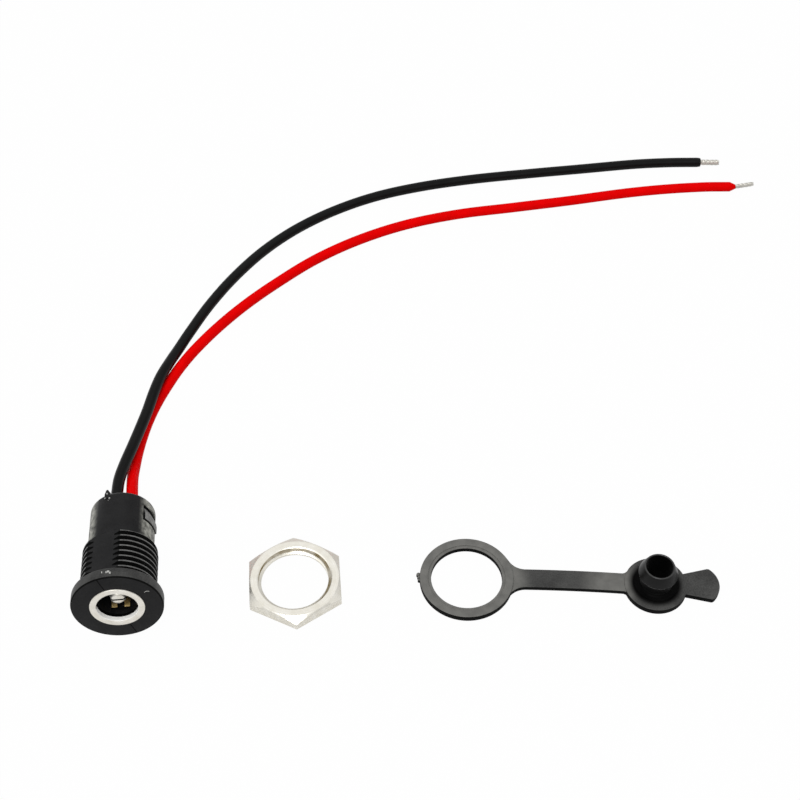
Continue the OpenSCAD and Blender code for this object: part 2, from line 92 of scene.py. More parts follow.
class Coat(Enum):
    """The finishes, each with its material's name."""

    PLASTIC = "moulded black plastic"
    COVER = "moulded cover plastic"
    RIM = "worn rim plastic"
    CREST = "worn thread crest"
    GROOVE = "thread groove"
    FLANGE_FACE = "flange face plastic"
    TORN = "torn plastic"
    LUG = "scuffed lug"
    NICKEL = "nickel plate"
    MATTE_NICKEL = "matte nickel lip"
    NUT = "satin nickel plate"
    BRONZE = "spring bronze"
    TIN = "tinned strands"
    SOLDER = "solder"
    SEAL = "seal rubber"
    RUBBER = "cap rubber"
    DARK_RUBBER = "shaded rubber"
    SIDE_RUBBER = "side rubber"
    PLUG_RUBBER = "plug rubber"
    LIP_RUBBER = "lip rubber"
    BLACK_WIRE = "black insulation"
    RED_WIRE = "red insulation"


def arc(centre: Point2, radius: float, start: float, end: float, steps: int = 6) -> list[Point2]:
    """Points on a circular arc.

    Args:
        centre: Centre of the arc.
        radius: Radius of the arc.
        start: First angle in degrees.
        end: Last angle in degrees.
        steps: Number of segments.

    Returns:
        The points from the first angle to the last, both included.
    """
    angles = (math.radians(start + (end - start) * i / steps) for i in range(steps + 1))
    return [(centre[0] + radius * math.cos(a), centre[1] + radius * math.sin(a)) for a in angles]


def rectangle(low: Point2, high: Point2) -> list[Point2]:
    """The corners of an upright rectangle, from the lowest one round."""
    return [low, (high[0], low[1]), high, (low[0], high[1])]


def mirrored(flank: Sequence[Point2]) -> list[Point2]:
    """A thread's tooth over one pitch.

    Args:
        flank: The radii and shares of the pitch up to the crest.

    Returns:
        The flank and its mirror image.
    """
    return [*flank, *((radius, 1.0 - share) for radius, share in reversed(flank))]


def spun(angle: float) -> Matrix:
    """A turn about Z by an angle in degrees."""
    return Matrix.Rotation(math.radians(angle), 4, "Z")


def grey(level: float) -> Colour:
    """A colour with three equal parts."""
    return (level, level, level)


def linked(name: str, data: bpy.types.ID) -> bpy.types.Object:
    """Makes an object and links it to the scene.

    Args:
        name: Name of the object.
        data: Its mesh, curve, camera or light.

    Returns:
        The new object.
    """
    obj = bpy.data.objects.new(name, data)
    bpy.context.scene.collection.objects.link(obj)
    return obj


class Shape:
    """A mesh in a local frame in millimetres, built up from closed shells with bmesh.

    The methods that make or change the mesh return the shape, so that calls can be chained.
    """

    def __init__(self) -> None:
        """Starts with an empty mesh."""
        self.bm = bmesh.new()

    def lathe(self, profile: Sequence[Point2], steps: int = 128, closed: bool = True) -> Shape:
        """Revolves a profile round Z.

        Args:
            profile: The profile's (radius, height) points.
            steps: Segments in a full turn.
            closed: Whether the last point joins the first one.

        Returns:
            This shape.
        """
        bm = bmesh.new()
        verts = [bm.verts.new((r, 0.0, z)) for r, z in profile]
        edges = [bm.edges.new(pair) for pair in zip(verts, verts[1:])]
        if closed:
            edges.append(bm.edges.new((verts[-1], verts[0])))
        bmesh.ops.spin(
            bm, geom=verts + edges, cent=(0, 0, 0), axis=UP, angle=TURN, steps=steps, use_merge=True
        )
        bmesh.ops.remove_doubles(bm, verts=bm.verts, dist=WELD)
        bmesh.ops.recalc_face_normals(bm, faces=bm.faces)
        return self._take(bm)

    def helix(self, tooth: Sequence[Point2], pitch: float, start: float, turns: int) -> Shape:
        """Sweeps a thread's tooth along a right-hand helix round Z, one pitch a turn.

        Args:
            tooth: (radius, height) points, with the height as a share of the pitch from 0 to 1.
            pitch: Rise in one turn.
            start: Height at which the sweep starts.
            turns: Number of turns.

        Returns:
            This shape.
        """
        bm = bmesh.new()
        verts = [bm.verts.new((r, 0.0, start + share * pitch)) for r, share in tooth]
        edges = [bm.edges.new(pair) for pair in zip(verts, verts[1:])]
        rise = UP * (pitch / THREAD_STEPS)
        angle, count = TURN * turns, THREAD_STEPS * turns
        bmesh.ops.spin(bm, geom=verts + edges, cent=(0, 0, 0), axis=UP, dvec=rise, angle=angle, steps=count)
        bmesh.ops.remove_doubles(bm, verts=bm.verts, dist=NEAR)
        return self._take(bm)

    def prism(self, outline: Sequence[Point2], low: float, high: float) -> Shape:
        """Extrudes an outline in the XY plane from one height to another.

        Args:
            outline: The corners of the outline.
            low: Height of the first end.
            high: Height of the second end.

        Returns:
            This shape.
        """
        bm = bmesh.new()
        face = bm.faces.new([bm.verts.new((x, y, low)) for x, y in outline])
        grown = bmesh.ops.extrude_face_region(bm, geom=[face], use_keep_orig=True)
        moved = [e for e in grown["geom"] if isinstance(e, bmesh.types.BMVert)]
        bmesh.ops.translate(bm, verts=moved, vec=(0, 0, high - low))
        bmesh.ops.recalc_face_normals(bm, faces=bm.faces)
        return self._take(bm)

    def loft(self, rings: Sequence[Sequence[Point3]]) -> Shape:
        """Skins a row of closed rings that all have the same number of points, and caps both ends.

        Args:
            rings: The rings, in order.

        Returns:
            This shape.
        """
        bm = bmesh.new()
        loops = []
        for ring in rings:
            verts = [bm.verts.new(p) for p in ring]
            loops.append([bm.edges.new(pair) for pair in zip(verts, verts[1:] + verts[:1])])
        for a, b in zip(loops, loops[1:]):
            bmesh.ops.bridge_loops(bm, edges=a + b)
        for end in (loops[0], loops[-1]):
            bmesh.ops.edgeloop_fill(bm, edges=end)
        bmesh.ops.recalc_face_normals(bm, faces=bm.faces)
        return self._take(bm)

    def _take(self, bm: bmesh.types.BMesh) -> Shape:
        """Adds the faces of another bmesh, which is freed.

        Args:
            bm: The other bmesh.

        Returns:
            This shape.
        """
        mesh = bpy.data.meshes.new("part")
        bm.to_mesh(mesh)
        bm.free()
        self.bm.from_mesh(mesh)
        bpy.data.meshes.remove(mesh)
        return self

    def absorb(self, *others: Shape) -> Shape:
        """Adds the shells of other shapes, which are used up.

        Args:
            others: The other shapes.

        Returns:
            This shape.
        """
        for other in others:
            self._take(other.bm)
        return self

    def painted(self, number: int) -> Shape:
        """Gives every face so far the material of one number.

        Args:
            number: The material's place in the piece's list.

        Returns:
            This shape.
        """
        for face in self.bm.faces:
            face.material_index = number
        return self

    def moved(self, matrix: Matrix) -> Shape:
        """Moves the whole shape by a matrix."""
        bmesh.ops.transform(self.bm, matrix=matrix, verts=self.bm.verts)
        return self

    def shifted(self, x: float, y: float, z: float) -> Shape:
        """Moves the whole shape along the axes."""
        return self.moved(Matrix.Translation((x, y, z)))

    def bend(self, rule: Callable[[Vector], Vector]) -> Shape:
        """Puts each point where a rule says.

        Args:
            rule: Gives a point's new place.

        Returns:
            This shape.
        """
        for vert in self.bm.verts:
            vert.co = rule(vert.co)
        return self._cleared()

    def _cleared(self) -> Shape:
        """Clears the edges without length and the faces without area."""
        bmesh.ops.dissolve_degenerate(self.bm, edges=self.bm.edges, dist=NEAR)
        return self

    def cap_ring(self, height: float) -> Shape:
        """Fills the flat ring between two open rims, and turns the faces outwards.

        Args:
            height: The height at which both rims lie.

        Returns:
            This shape.
        """
        level = [e for e in self.bm.edges if all(abs(v.co.z - height) < NEAR for v in e.verts)]
        rims = [e for e in level if e.is_boundary]
        bmesh.ops.triangle_fill(self.bm, edges=rims, use_beauty=True, normal=UP)
        bmesh.ops.recalc_face_normals(self.bm, faces=self.bm.faces)
        return self

    def trim(self, point: Vector, direction: Vector, fill: bool = False) -> Shape:
        """Cuts off what lies beyond a plane.

        Args:
            point: A point of the plane.
            direction: The plane's normal, towards what goes.
            fill: Whether the cut is closed with a flat face.

        Returns:
            This shape.
        """
        geom = [*self.bm.verts, *self.bm.edges, *self.bm.faces]
        cut = bmesh.ops.bisect_plane(
            self.bm, geom=geom, dist=WELD, plane_co=point, plane_no=direction, clear_outer=True
        )["geom_cut"]
        if fill:
            edges = [e for e in cut if isinstance(e, bmesh.types.BMEdge)]
            bmesh.ops.triangle_fill(self.bm, edges=edges, use_beauty=True, normal=direction)
        return self

    def soften(self, width: float, angle: float = 40.0, segments: int = 2, upright: bool = False) -> Shape:
        """Rounds every edge that is sharper than an angle.

        Args:
            width: Width of the rounding.
            angle: Least angle between two faces, in degrees.
            segments: Segments across the rounding.
            upright: Whether only the edges along Z are rounded.

        Returns:
            This shape.
        """
        limit = math.radians(angle)
        self.bm.normal_update()
        sharp = [e for e in self.bm.edges if e.is_manifold and e.calc_face_angle(0.0) > limit]
        if upright:
            sharp = [e for e in sharp if (e.verts[0].co - e.verts[1].co).xy.length < NEAR]
        bmesh.ops.bevel(
            self.bm,
            geom=sharp,
            offset=width,
            offset_type="OFFSET",
            segments=segments,
            profile=0.5,
            affect="EDGES",
            clamp_overlap=True,
            material=-1,
        )
        return self._cleared()

    def carve(self, *cutters: Shape) -> Shape:
        """Cuts other shapes, which are used up, out of this one.

        Args:
            cutters: The other shapes.

        Returns:
            This shape.
        """
        target, *tools = (shape._as_temporary() for shape in (self, *cutters))
        for tool in tools:
            cut = target.modifiers.new("cut", "BOOLEAN")
            cut.operation = "DIFFERENCE"
            cut.solver = "EXACT"
            cut.object = tool
        graph = bpy.context.evaluated_depsgraph_get()
        mesh = bpy.data.meshes.new_from_object(target.evaluated_get(graph))
        self.bm = bmesh.new()
        self.bm.from_mesh(mesh)
        bpy.data.meshes.remove(mesh)
        for obj in (target, *tools):
            data = obj.data
            bpy.data.objects.remove(obj)
            bpy.data.meshes.remove(data)
        return self._cleared()

    def _as_temporary(self) -> bpy.types.Object:
        """Makes a passing object of this shape, which is used up.

        Returns:
            The new object.
        """
        mesh = bpy.data.meshes.new("temporary")
        self.bm.to_mesh(mesh)
        self.bm.free()
        return linked("temporary", mesh)

    def as_piece(
        self,
        name: str,
        place: Matrix,
        palette: Palette,
        coats: Sequence[Coat],
        pick: Callable[[Face], Coat] | None = None,
        crease: float = 30.0,
    ) -> bpy.types.Object:
        """Makes an object of this shape, which is used up, and lets it ride on the part.

        Args:
            name: Name of the piece.
            place: The matrix from the local frame in millimetres to the shared frame in metres.
            palette: The shared materials.
            coats: The piece's finishes.
            pick: Gives a face's finish. None leaves what was painted, or the first one.
            crease: Angle in degrees above which an edge is drawn sharp.

        Returns:
            The new object.
        """
        self.bm.normal_update()
        if pick:
            for face in self.bm.faces:
                face.material_index = coats.index(pick(face))
        self.moved(place)
        mesh = bpy.data.meshes.new(name)
        self.bm.to_mesh(mesh)
        self.bm.free()
        mesh.shade_smooth()
        mesh.set_sharp_from_angle(angle=math.radians(crease))
        for coat in coats:
            mesh.materials.append(palette[coat])
        piece = linked(name, mesh)
        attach(piece, Body.ROOT.value)
        LOG.info("%s: %d faces", name, len(mesh.polygons))
        return piece


class Graph:
    """A thin hand on a node tree."""

    def __init__(self, tree: bpy.types.NodeTree) -> None:
        """Takes the tree that the nodes go into."""
        self.tree = tree

    @classmethod
    def fresh(cls, owner: bpy.types.Material | bpy.types.World) -> Graph:
        """Switches an owner's nodes on and clears them.

        Args:
            owner: The material or the world.

        Returns:
            The graph of the empty tree.
        """
        owner.use_nodes = True
        owner.node_tree.nodes.clear()
        return cls(owner.node_tree)

    def add(self, kind: str, inputs: dict[str | int, Any] | None = None, **settings: Any) -> bpy.types.Node:
        """Adds a node.

        Args:
            kind: The node's type.
            inputs: Socket names or numbers, with a constant or an output socket for each.
            settings: Properties of the node.

        Returns:
            The new node.
        """
        node = self.tree.nodes.new(kind)
        for key, value in settings.items():
            setattr(node, key, value)
        for key, value in (inputs or {}).items():
            if isinstance(value, Output):
                self.tree.links.new(value, node.inputs[key])
            else:
                node.inputs[key].default_value = value
        return node

    def math(self, operation: str, *values: Any) -> Output:
        """The result of a Math node on the given constants or sockets."""
        return self.add("ShaderNodeMath", dict(enumerate(values)), operation=operation).outputs[0]

    def squares(self, x: Output, y: Output) -> Output:
        """The sum of two squares."""
        return self.math("ADD", self.math("MULTIPLY", x, x), self.math("MULTIPLY", y, y))

    def noise(self, where: Output, scale: Any, detail: float, roughness: float = 0.5) -> Output:
        """A cloud texture from about 0 to 1.

        Args:
            where: The place that it is read at.
            scale: Its scale, as a constant or a socket.
            detail: Its detail.
            roughness: The strength of its detail.

        Returns:
            The texture's value.
        """
        inputs = {"Vector": where, "Scale": scale, "Detail": detail, "Roughness": roughness}
        return self.add("ShaderNodeTexNoise", inputs).outputs["Fac"]

    def ramp(self, factor: Output, *stops: tuple[float, Colour]) -> Output:
        """A colour ramp.

        Args:
            factor: The place on the ramp.
            stops: The ramp's places, with the colour at each.

        Returns:
            The ramp's colour.
        """
        node = self.add("ShaderNodeValToRGB", {"Fac": factor})
        elements = node.color_ramp.elements
        while len(elements) < len(stops):
            elements.new(0.5)
        for element, (position, colour) in zip(elements, stops):
            element.position = position
            element.color = (*colour, 1.0)
        return node.outputs["Color"]

    def blend(self, share: Output, under: Output, over: Colour) -> Output:
        """Mixes a plain colour over another one.

        Args:
            share: The plain colour's share.
            under: The colour under it.
            over: The plain colour.

        Returns:
            The mixed colour.
        """
        inputs = {"Factor": share, 6: under, 7: (*over, 1.0)}
        return self.add("ShaderNodeMix", inputs, data_type="RGBA").outputs[2]

    def spread(self, value: Output, low: float, high: float) -> Output:
        """Maps 0 to 1 onto low to high."""
        inputs = {"Value": value, "To Min": low, "To Max": high}
        return self.add("ShaderNodeMapRange", inputs).outputs["Result"]

    def ease(self, value: Output, start: float, end: float, low: float = 0.0, high: float = 1.0) -> Output:
        """Eases from one level to another while a length grows.

        Args:
            value: The length in metres.
            start: The length in millimetres at which the first level ends.
            end: The length in millimetres at which the second level is reached.
            low: The first level.
            high: The second level.

        Returns:
            The level.
        """
        span = {"From Min": start * MM, "From Max": end * MM}
        inputs = {"Value": value, "To Min": low, "To Max": high, **span}
        return self.add("ShaderNodeMapRange", inputs, interpolation_type="SMOOTHSTEP").outputs["Result"]

    def fade(self, where: Output, heart: Point3, near: float, far: float) -> Output:
        """Falls from 1 to 0 away from a point.

        Args:
            where: The place on the object, in metres.
            heart: The point, in millimetres.
            near: The distance in millimetres at which the fall starts.
            far: The distance in millimetres at which it ends.

        Returns:
            The level.
        """
        middle = tuple(v * MM for v in heart)
        away = self.add("ShaderNodeVectorMath", {0: where, 1: middle}, operation="DISTANCE").outputs["Value"]
        return self.ease(away, near, far, 1.0, 0.0)

    def local(self, where: Output, place: Matrix) -> tuple[Output, Any]:
        """The place in a sub-assembly's own frame.

        Args:
            where: The place on the object, in metres.
            place: The sub-assembly's matrix.

        Returns:
            The place in its frame, in metres, and the outputs X, Y and Z of the same.
        """
        loc, rot, _ = place.decompose()
        inputs = {"Vector": where, "Location": loc, "Rotation": rot.to_euler()}
        local = self.add("ShaderNodeMapping", inputs, vector_type="TEXTURE").outputs["Vector"]
        return local, self.add("ShaderNodeSeparateXYZ", {"Vector": local}).outputs


class GrainGroup:
    """The shared node group for a surface's fine grain and its cloudy unevenness."""

    NAME = "surface grain"
    INPUTS = (("Fine", 8000.0), ("Cloud", 500.0), ("Depth", 0.1), ("Distance", 1e-5))

    @classmethod
    def get(cls) -> bpy.types.NodeTree:
        """Returns the group, which is made the first time.

        Returns:
            The group's node tree.
        """
        tree = bpy.data.node_groups.get(cls.NAME)
        if tree:
            return tree
        tree = bpy.data.node_groups.new(cls.NAME, "ShaderNodeTree")
        face = tree.interface
        face.new_socket("Vector", in_out="INPUT", socket_type="NodeSocketVector")
        for name, default in cls.INPUTS:
            face.new_socket(name, in_out="INPUT", socket_type="NodeSocketFloat").default_value = default
        for name in ("Grain", "Cloud"):
            face.new_socket(name, in_out="OUTPUT", socket_type="NodeSocketFloat")
        face.new_socket("Normal", in_out="OUTPUT", socket_type="NodeSocketVector")
        graph = Graph(tree)
        given = graph.add("NodeGroupInput").outputs
        fine = graph.noise(given["Vector"], given["Fine"], 3.0, 0.6)
        cloud = graph.noise(given["Vector"], given["Cloud"], 4.0, 0.55)
        relief = {"Strength": given["Depth"], "Distance": given["Distance"], "Height": fine}
        bump = graph.add("ShaderNodeBump", relief).outputs["Normal"]
        graph.add("NodeGroupOutput", {"Grain": fine, "Cloud": cloud, "Normal": bump})
        return tree


@dataclass(frozen=True)
class Finish:
    """A procedural finish: two tones, gloss and grain."""

    coat: Coat
    dark: Colour
    light: Colour
    roughness: tuple[float, float]
    metallic: float = 0.0
    specular: float = 0.5
    sheen: float = 0.0
    sheen_roughness: float = 0.3
    fine: float = 8000.0
    cloud: float = 500.0
    depth: float = 0.1
    distance: float = 1e-5
    dark_until: float = 0.35
    light_from: float = 0.65

    def build(self) -> bpy.types.Material:
        """Makes the material.

        Returns:
            The new material.
        """
        material = bpy.data.materials.new(self.coat.value)
        graph = Graph.fresh(material)
        where = graph.add("ShaderNodeTexCoord").outputs["Object"]
        given = {"Fine": self.fine, "Cloud": self.cloud, "Depth": self.depth, "Distance": self.distance}
        grain = graph.add("ShaderNodeGroup", node_tree=GrainGroup.get())
        graph.tree.links.new(where, grain.inputs["Vector"])
        for key, value in given.items():
            grain.inputs[key].default_value = value
        both = graph.math("ADD", grain.outputs["Grain"], grain.outputs["Cloud"])
        mixed = graph.math("MULTIPLY", both, 0.5)
        colour = graph.ramp(mixed, (self.dark_until, self.dark), (self.light_from, self.light))
        look = {
            "Base Color": colour,
            "Metallic": self.metallic,
            "Roughness": graph.spread(grain.outputs["Cloud"], *self.roughness),
            "Specular IOR Level": self.specular,
            "Sheen Weight": self.sheen,
            "Sheen Roughness": self.sheen_roughness,
            "Normal": grain.outputs["Normal"],
        }
        look.update(self.marks(graph, where, colour))
        shader = graph.add("ShaderNodeBsdfPrincipled", look)
        graph.add("ShaderNodeOutputMaterial", {"Surface": shader.outputs["BSDF"]})
        return material

    def marks(self, graph: Graph, where: Output, colour: Output) -> Look:
        """Lets a kind of finish draw its own marks. The plain finish has none.

        Args:
            graph: The material's nodes.
            where: The place on the object, in metres.
            colour: The two tones, mixed by the grain.

        Returns:
            Shader inputs that take the place of the plain ones.
        """
        return {}


@dataclass(frozen=True)
class KnitLineFinish(Finish):
    """A moulded face with the fine dark line where the plastic's two flow fronts met."""

    place: Matrix | None = None
    roll: float = 0.0
    half_width: float = 0.06
    wobble: float = 8e-5
    wobble_scale: float = 900.0
    line: Colour = grey(0.001)

    def marks(self, graph: Graph, where: Output, colour: Output) -> Look:
        """Draws a dull dark line along one diameter of the face; see Finish.marks."""
        local, axes = graph.local(where, self.place)
        turn = math.radians(self.roll)
        along_x = graph.math("MULTIPLY", axes["X"], math.cos(turn))
        along_y = graph.math("MULTIPLY", axes["Y"], math.sin(turn))
        wobble = graph.spread(graph.noise(local, self.wobble_scale, 2.0), -self.wobble, self.wobble)
        across = graph.math("ADD", graph.math("ADD", along_x, along_y), wobble)
        line = graph.math("LESS_THAN", graph.math("ABSOLUTE", across), self.half_width * MM)
        return {
            "Base Color": graph.blend(line, colour, self.line),
            "Specular IOR Level": graph.spread(line, self.specular, 0.0),
        }


@dataclass(frozen=True)
class FlankReflectionFinish(Finish):
    """Moulded plastic with a pale, mottled painted reflection along both flanks of a turned piece."""

    place: Matrix | None = None
    radius: float = 5.0
    flank: tuple[float, float] = (0.6, 0.86)
    outer: float = 0.96
    flank_reflection: Colour = (0.36, 0.36, 0.32)
    mottle_scale: float = 1250.0
    mottle: tuple[float, float] = (-0.75, 2.0)

    def marks(self, graph: Graph, where: Output, colour: Output) -> Look:
        """Draws the painted flank reflection over the two tones, on the outside only; see Finish.marks."""
        local, axes = graph.local(where, self.place)
        off = graph.math("ABSOLUTE", axes["X"])
        flank = graph.ease(off, *(share * self.radius for share in self.flank))
        limit = (self.outer * self.radius * MM) ** 2
        outside = graph.math("GREATER_THAN", graph.squares(off, axes["Y"]), limit)
        mottle = graph.spread(graph.noise(local, self.mottle_scale, 3.0), *self.mottle)
        # Painted reflection: pale, mottled bands on both flanks.
        share = graph.math("MULTIPLY", graph.math("MULTIPLY", flank, outside), mottle)
        return {"Base Color": graph.blend(share, colour, self.flank_reflection)}


@dataclass(frozen=True)
class DustyFinish(Finish):
    """Soft rubber with a few pale specks of dust, pale films and a painted shade round one place, each of
    which fades outwards.

    A film or the painted shade is a point with the distances at which it starts to fade and is gone.
    """

    dust: Colour = (0.2, 0.2, 0.19)
    film: Colour = (0.15, 0.148, 0.138)
    shade_tone: Colour = grey(0.001)
    films: tuple[tuple[Point3, float, float], ...] = ()
    film_scale: float = 650.0
    film_mottle: tuple[float, float] = (0.22, 1.45)
    speck_scale: float = 900.0
    speck_rarity: float = 0.93
    speck_size: float = 0.09
    shade_place: tuple[Point3, float, float] = ((0.0, 0.0, 0.0), 0.0, 1.0)

    def marks(self, graph: Graph, where: Output, colour: Output) -> Look:
        """Adds the films, the specks and the painted shade to the two tones; see Finish.marks."""
        uneven = graph.spread(graph.noise(where, self.film_scale, 4.0), *self.film_mottle)
        for film in self.films:
            share = graph.math("MULTIPLY", graph.fade(where, *film), uneven)
            colour = graph.blend(share, colour, self.film)
        inputs = {"Vector": where, "Scale": self.speck_scale, "Randomness": 1.0}
        cells = graph.add("ShaderNodeTexVoronoi", inputs).outputs
        chosen = graph.add("ShaderNodeSeparateColor", {"Color": cells["Color"]}).outputs["Red"]
        rare = graph.math("GREATER_THAN", chosen, self.speck_rarity)
        small = graph.math("LESS_THAN", cells["Distance"], self.speck_size)
        dusted = graph.blend(graph.math("MULTIPLY", rare, small), colour, self.dust)
        # Painted shade: near black and without gloss, fading out from one place.
        dark = graph.fade(where, *self.shade_place)
        return {
            "Base Color": graph.blend(dark, dusted, self.shade_tone),
            "Specular IOR Level": graph.spread(dark, self.specular, 0.0),
        }


@dataclass(frozen=True)
class TurnedFinish(Finish):
    """Turned and plated metal: fine rings round an axis, and painted olive shade in two bands inside a bore.
    """

    heart: Point3 = (0.0, 0.0, 0.0)
    ring_scale: float = 5200.0
    ring_share: tuple[float, float] = (-0.35, 0.75)
    bore_shade: Colour = (0.14, 0.098, 0.028)
    bore_r: float = 5.72
    middle: float = 1.0
    band: tuple[float, float] = (0.63, 0.9)
    patch_scale: float = 420.0
    patches: tuple[float, float] = (0.1, 1.55)

    def marks(self, graph: Graph, where: Output, colour: Output) -> Look:
        """Draws the rings, and the painted shade that dulls the metal in the bore; see Finish.marks."""
        axes = graph.add("ShaderNodeSeparateXYZ", {"Vector": where}).outputs
        centre = zip("XYZ", (*self.heart[:2], self.middle))
        x, y, z = (graph.math("SUBTRACT", axes[key], value * MM) for key, value in centre)
        radius = graph.math("SQRT", graph.squares(x, y))
        inputs = {"W": radius, "Scale": self.ring_scale, "Detail": 2.0}
        rings = graph.add("ShaderNodeTexNoise", inputs, noise_dimensions="1D").outputs["Fac"]
        ringed = graph.blend(graph.spread(rings, *self.ring_share), colour, self.dark)
        # Painted shade: dull olive bands in the countersinks at both mouths of the bore.
        low, high = (v * MM for v in self.band)
        off = graph.math("SUBTRACT", graph.math("ABSOLUTE", z), (low + high) / 2)
        banded = graph.math("LESS_THAN", graph.math("ABSOLUTE", off), (high - low) / 2)
        inside = graph.math("LESS_THAN", radius, self.bore_r * MM)
        patchy = graph.spread(graph.noise(where, self.patch_scale, 2.0), *self.patches)
        share = graph.math("MULTIPLY", graph.math("MULTIPLY", inside, banded), patchy)
        return {
            "Base Color": graph.blend(share, ringed, self.bore_shade),
            "Metallic": graph.spread(share, self.metallic, 0.0),
        }


def mix_palette(socket: Socket, nut: PanelNut, cap: SealingCap) -> Palette:
    """Builds every material.

    Args:
        socket: The socket, for marks that follow its own frame.
        nut: The nut, for marks round its axis.
        cap: The sealing cap, for marks at its own places.

    Returns:
        The materials by finish.
    """
    moulded = dict(roughness=(0.36, 0.5), fine=4200.0, depth=0.45, distance=1.6e-5)
    black = dict(dark=(0.003, 0.003, 0.0035), light=(0.011, 0.011, 0.0115), **moulded)
    # Glossier moulded plastic, shared by the rim's and crests' painted highlights and the lugs' painted
    # reflection.
    highlight_gloss = dict(specular=0.4, **moulded)
    metal = dict(metallic=1.0, fine=14000.0, cloud=900.0, depth=0.08, distance=2e-6)
    plate = dict(metal, metallic=0.75)
    wire = dict(fine=5000.0, cloud=300.0, depth=0.05, distance=4e-6)
    soft = dict(fine=6000.0, depth=0.16)
    ring_film = (cap.placement.at(0.0), *cap.ring_film)
    tether_film = (cap.placement.at(cap.reach - cap.tether_film_back), *cap.tether_film)
    # Painted shade on the disc round the plug's foot.
    foot = (cap.placement.at(cap.reach, cap.disc_t), cap.collar_r, cap.disc_r - cap.foot_margin)
    dusty = dict(specular=0.25, cloud=220.0, films=(ring_film, tether_film), shade_place=foot, **soft)
    knit = dict(specular=0.14, place=socket.place, roll=socket.knit_turn, **black)
    finishes = (
        Finish(Coat.PLASTIC, specular=0.18, sheen=0.03, **black),
        # Cover plastic with a painted reflection on both flanks.
        FlankReflectionFinish(Coat.COVER, specular=0.18, sheen=0.1, place=socket.place, **black),
        # Painted highlight: the flange's rim lighter than the rest of the moulding.
        Finish(Coat.RIM, grey(0.006), (0.045, 0.045, 0.043), **highlight_gloss),
        # Painted highlight: the thread's crests lighter than the rest of the moulding.
        Finish(Coat.CREST, (0.05, 0.05, 0.048), (0.16, 0.16, 0.155), **highlight_gloss),
        # Painted shade: near black, for the thread's grooves, the flange face's edge, the ring's deeper wall
        # and upper lip, and the pin's slit.
        Finish(Coat.GROOVE, grey(0.001), grey(0.003), specular=0.05, **moulded),
        KnitLineFinish(Coat.FLANGE_FACE, **knit),
        Finish(Coat.TORN, (0.25, 0.25, 0.24), (0.6, 0.6, 0.57), (0.5, 0.7), depth=0.3),
        # Painted reflection: the lugs' outer faces light grey.
        Finish(Coat.LUG, (0.08, 0.08, 0.078), (0.3, 0.3, 0.29), **highlight_gloss),
        Finish(Coat.NICKEL, (0.76, 0.72, 0.63), (0.95, 0.92, 0.86), (0.3, 0.42), **plate),
        # Painted light: a near-white, non-metal copy of the nickel for the lower inner lip.
        Finish(Coat.MATTE_NICKEL, (0.98, 0.97, 0.93), (1.0, 0.99, 0.96), (0.5, 0.6), depth=0.05),
        # Satin nickel nut with turning rings and painted shade in its countersinks.
        TurnedFinish(
            Coat.NUT,
            (0.78, 0.745, 0.65),
            (0.97, 0.95, 0.895),
            (0.3, 0.42),
            heart=nut.placement.position,
            **metal,
        ),
        Finish(Coat.BRONZE, (0.52, 0.36, 0.12), (0.72, 0.55, 0.27), (0.25, 0.38), **metal),
        Finish(Coat.TIN, (0.48, 0.465, 0.42), (0.78, 0.76, 0.7), (0.3, 0.45), **metal),
        Finish(Coat.SOLDER, (0.5, 0.5, 0.49), (0.62, 0.62, 0.6), (0.3, 0.45), **metal),
        Finish(Coat.SEAL, grey(0.02), (0.035, 0.035, 0.034), (0.6, 0.75), depth=0.2),
        DustyFinish(Coat.RUBBER, (0.02, 0.02, 0.0195), (0.075, 0.075, 0.072), (0.42, 0.56), **dusty),
        # Painted shade: the collar round the plug's foot.
        Finish(Coat.DARK_RUBBER, grey(0.001), grey(0.004), (0.4, 0.5), specular=0.02, **soft),
        # Painted shade: a near-black copy of the cap rubber for its sides and undersides.
        Finish(Coat.SIDE_RUBBER, grey(0.001), grey(0.004), (0.5, 0.62), specular=0.04, **soft),
        Finish(Coat.PLUG_RUBBER, grey(0.001), grey(0.003), (0.26, 0.34), specular=0.24, sheen=0.1, **soft),
        # Painted highlight: a lighter, glossier copy of the plug rubber for the lip, on top of the key
        # lamp's own reflection.
        Finish(Coat.LIP_RUBBER, grey(0.006), grey(0.02), (0.25, 0.32), specular=0.6, **soft),
        Finish(Coat.BLACK_WIRE, grey(0.001), grey(0.004), (0.26, 0.34), specular=0.13, **wire),
        Finish(Coat.RED_WIRE, (0.62, 0.0, 0.0), (0.78, 0.0, 0.0005), (0.35, 0.45), specular=0.02, **wire),
    )
    return {finish.coat: finish.build() for finish in finishes}


@dataclass(frozen=True)
class Placement:
    """Where a sub-assembly's own frame lies in the shared frame, in millimetres and degrees."""

    position: Point3
    turn: float = 0.0
    tip: float = 0.0

    @property
    def matrix(self) -> Matrix:
        """The matrix from local millimetres to shared metres."""
        rotation = Euler((math.radians(self.tip), 0.0, math.radians(self.turn))).to_matrix().to_4x4()
        return Matrix.Translation(Vector(self.position) * MM) @ rotation @ Matrix.Scale(MM, 4)

    def at(self, x: float, z: float = 0.0) -> Point3:
        """The place in shared millimetres of a point x along and z above the local frame."""
        return tuple(self.matrix @ Vector((x, 0.0, z)) / MM)


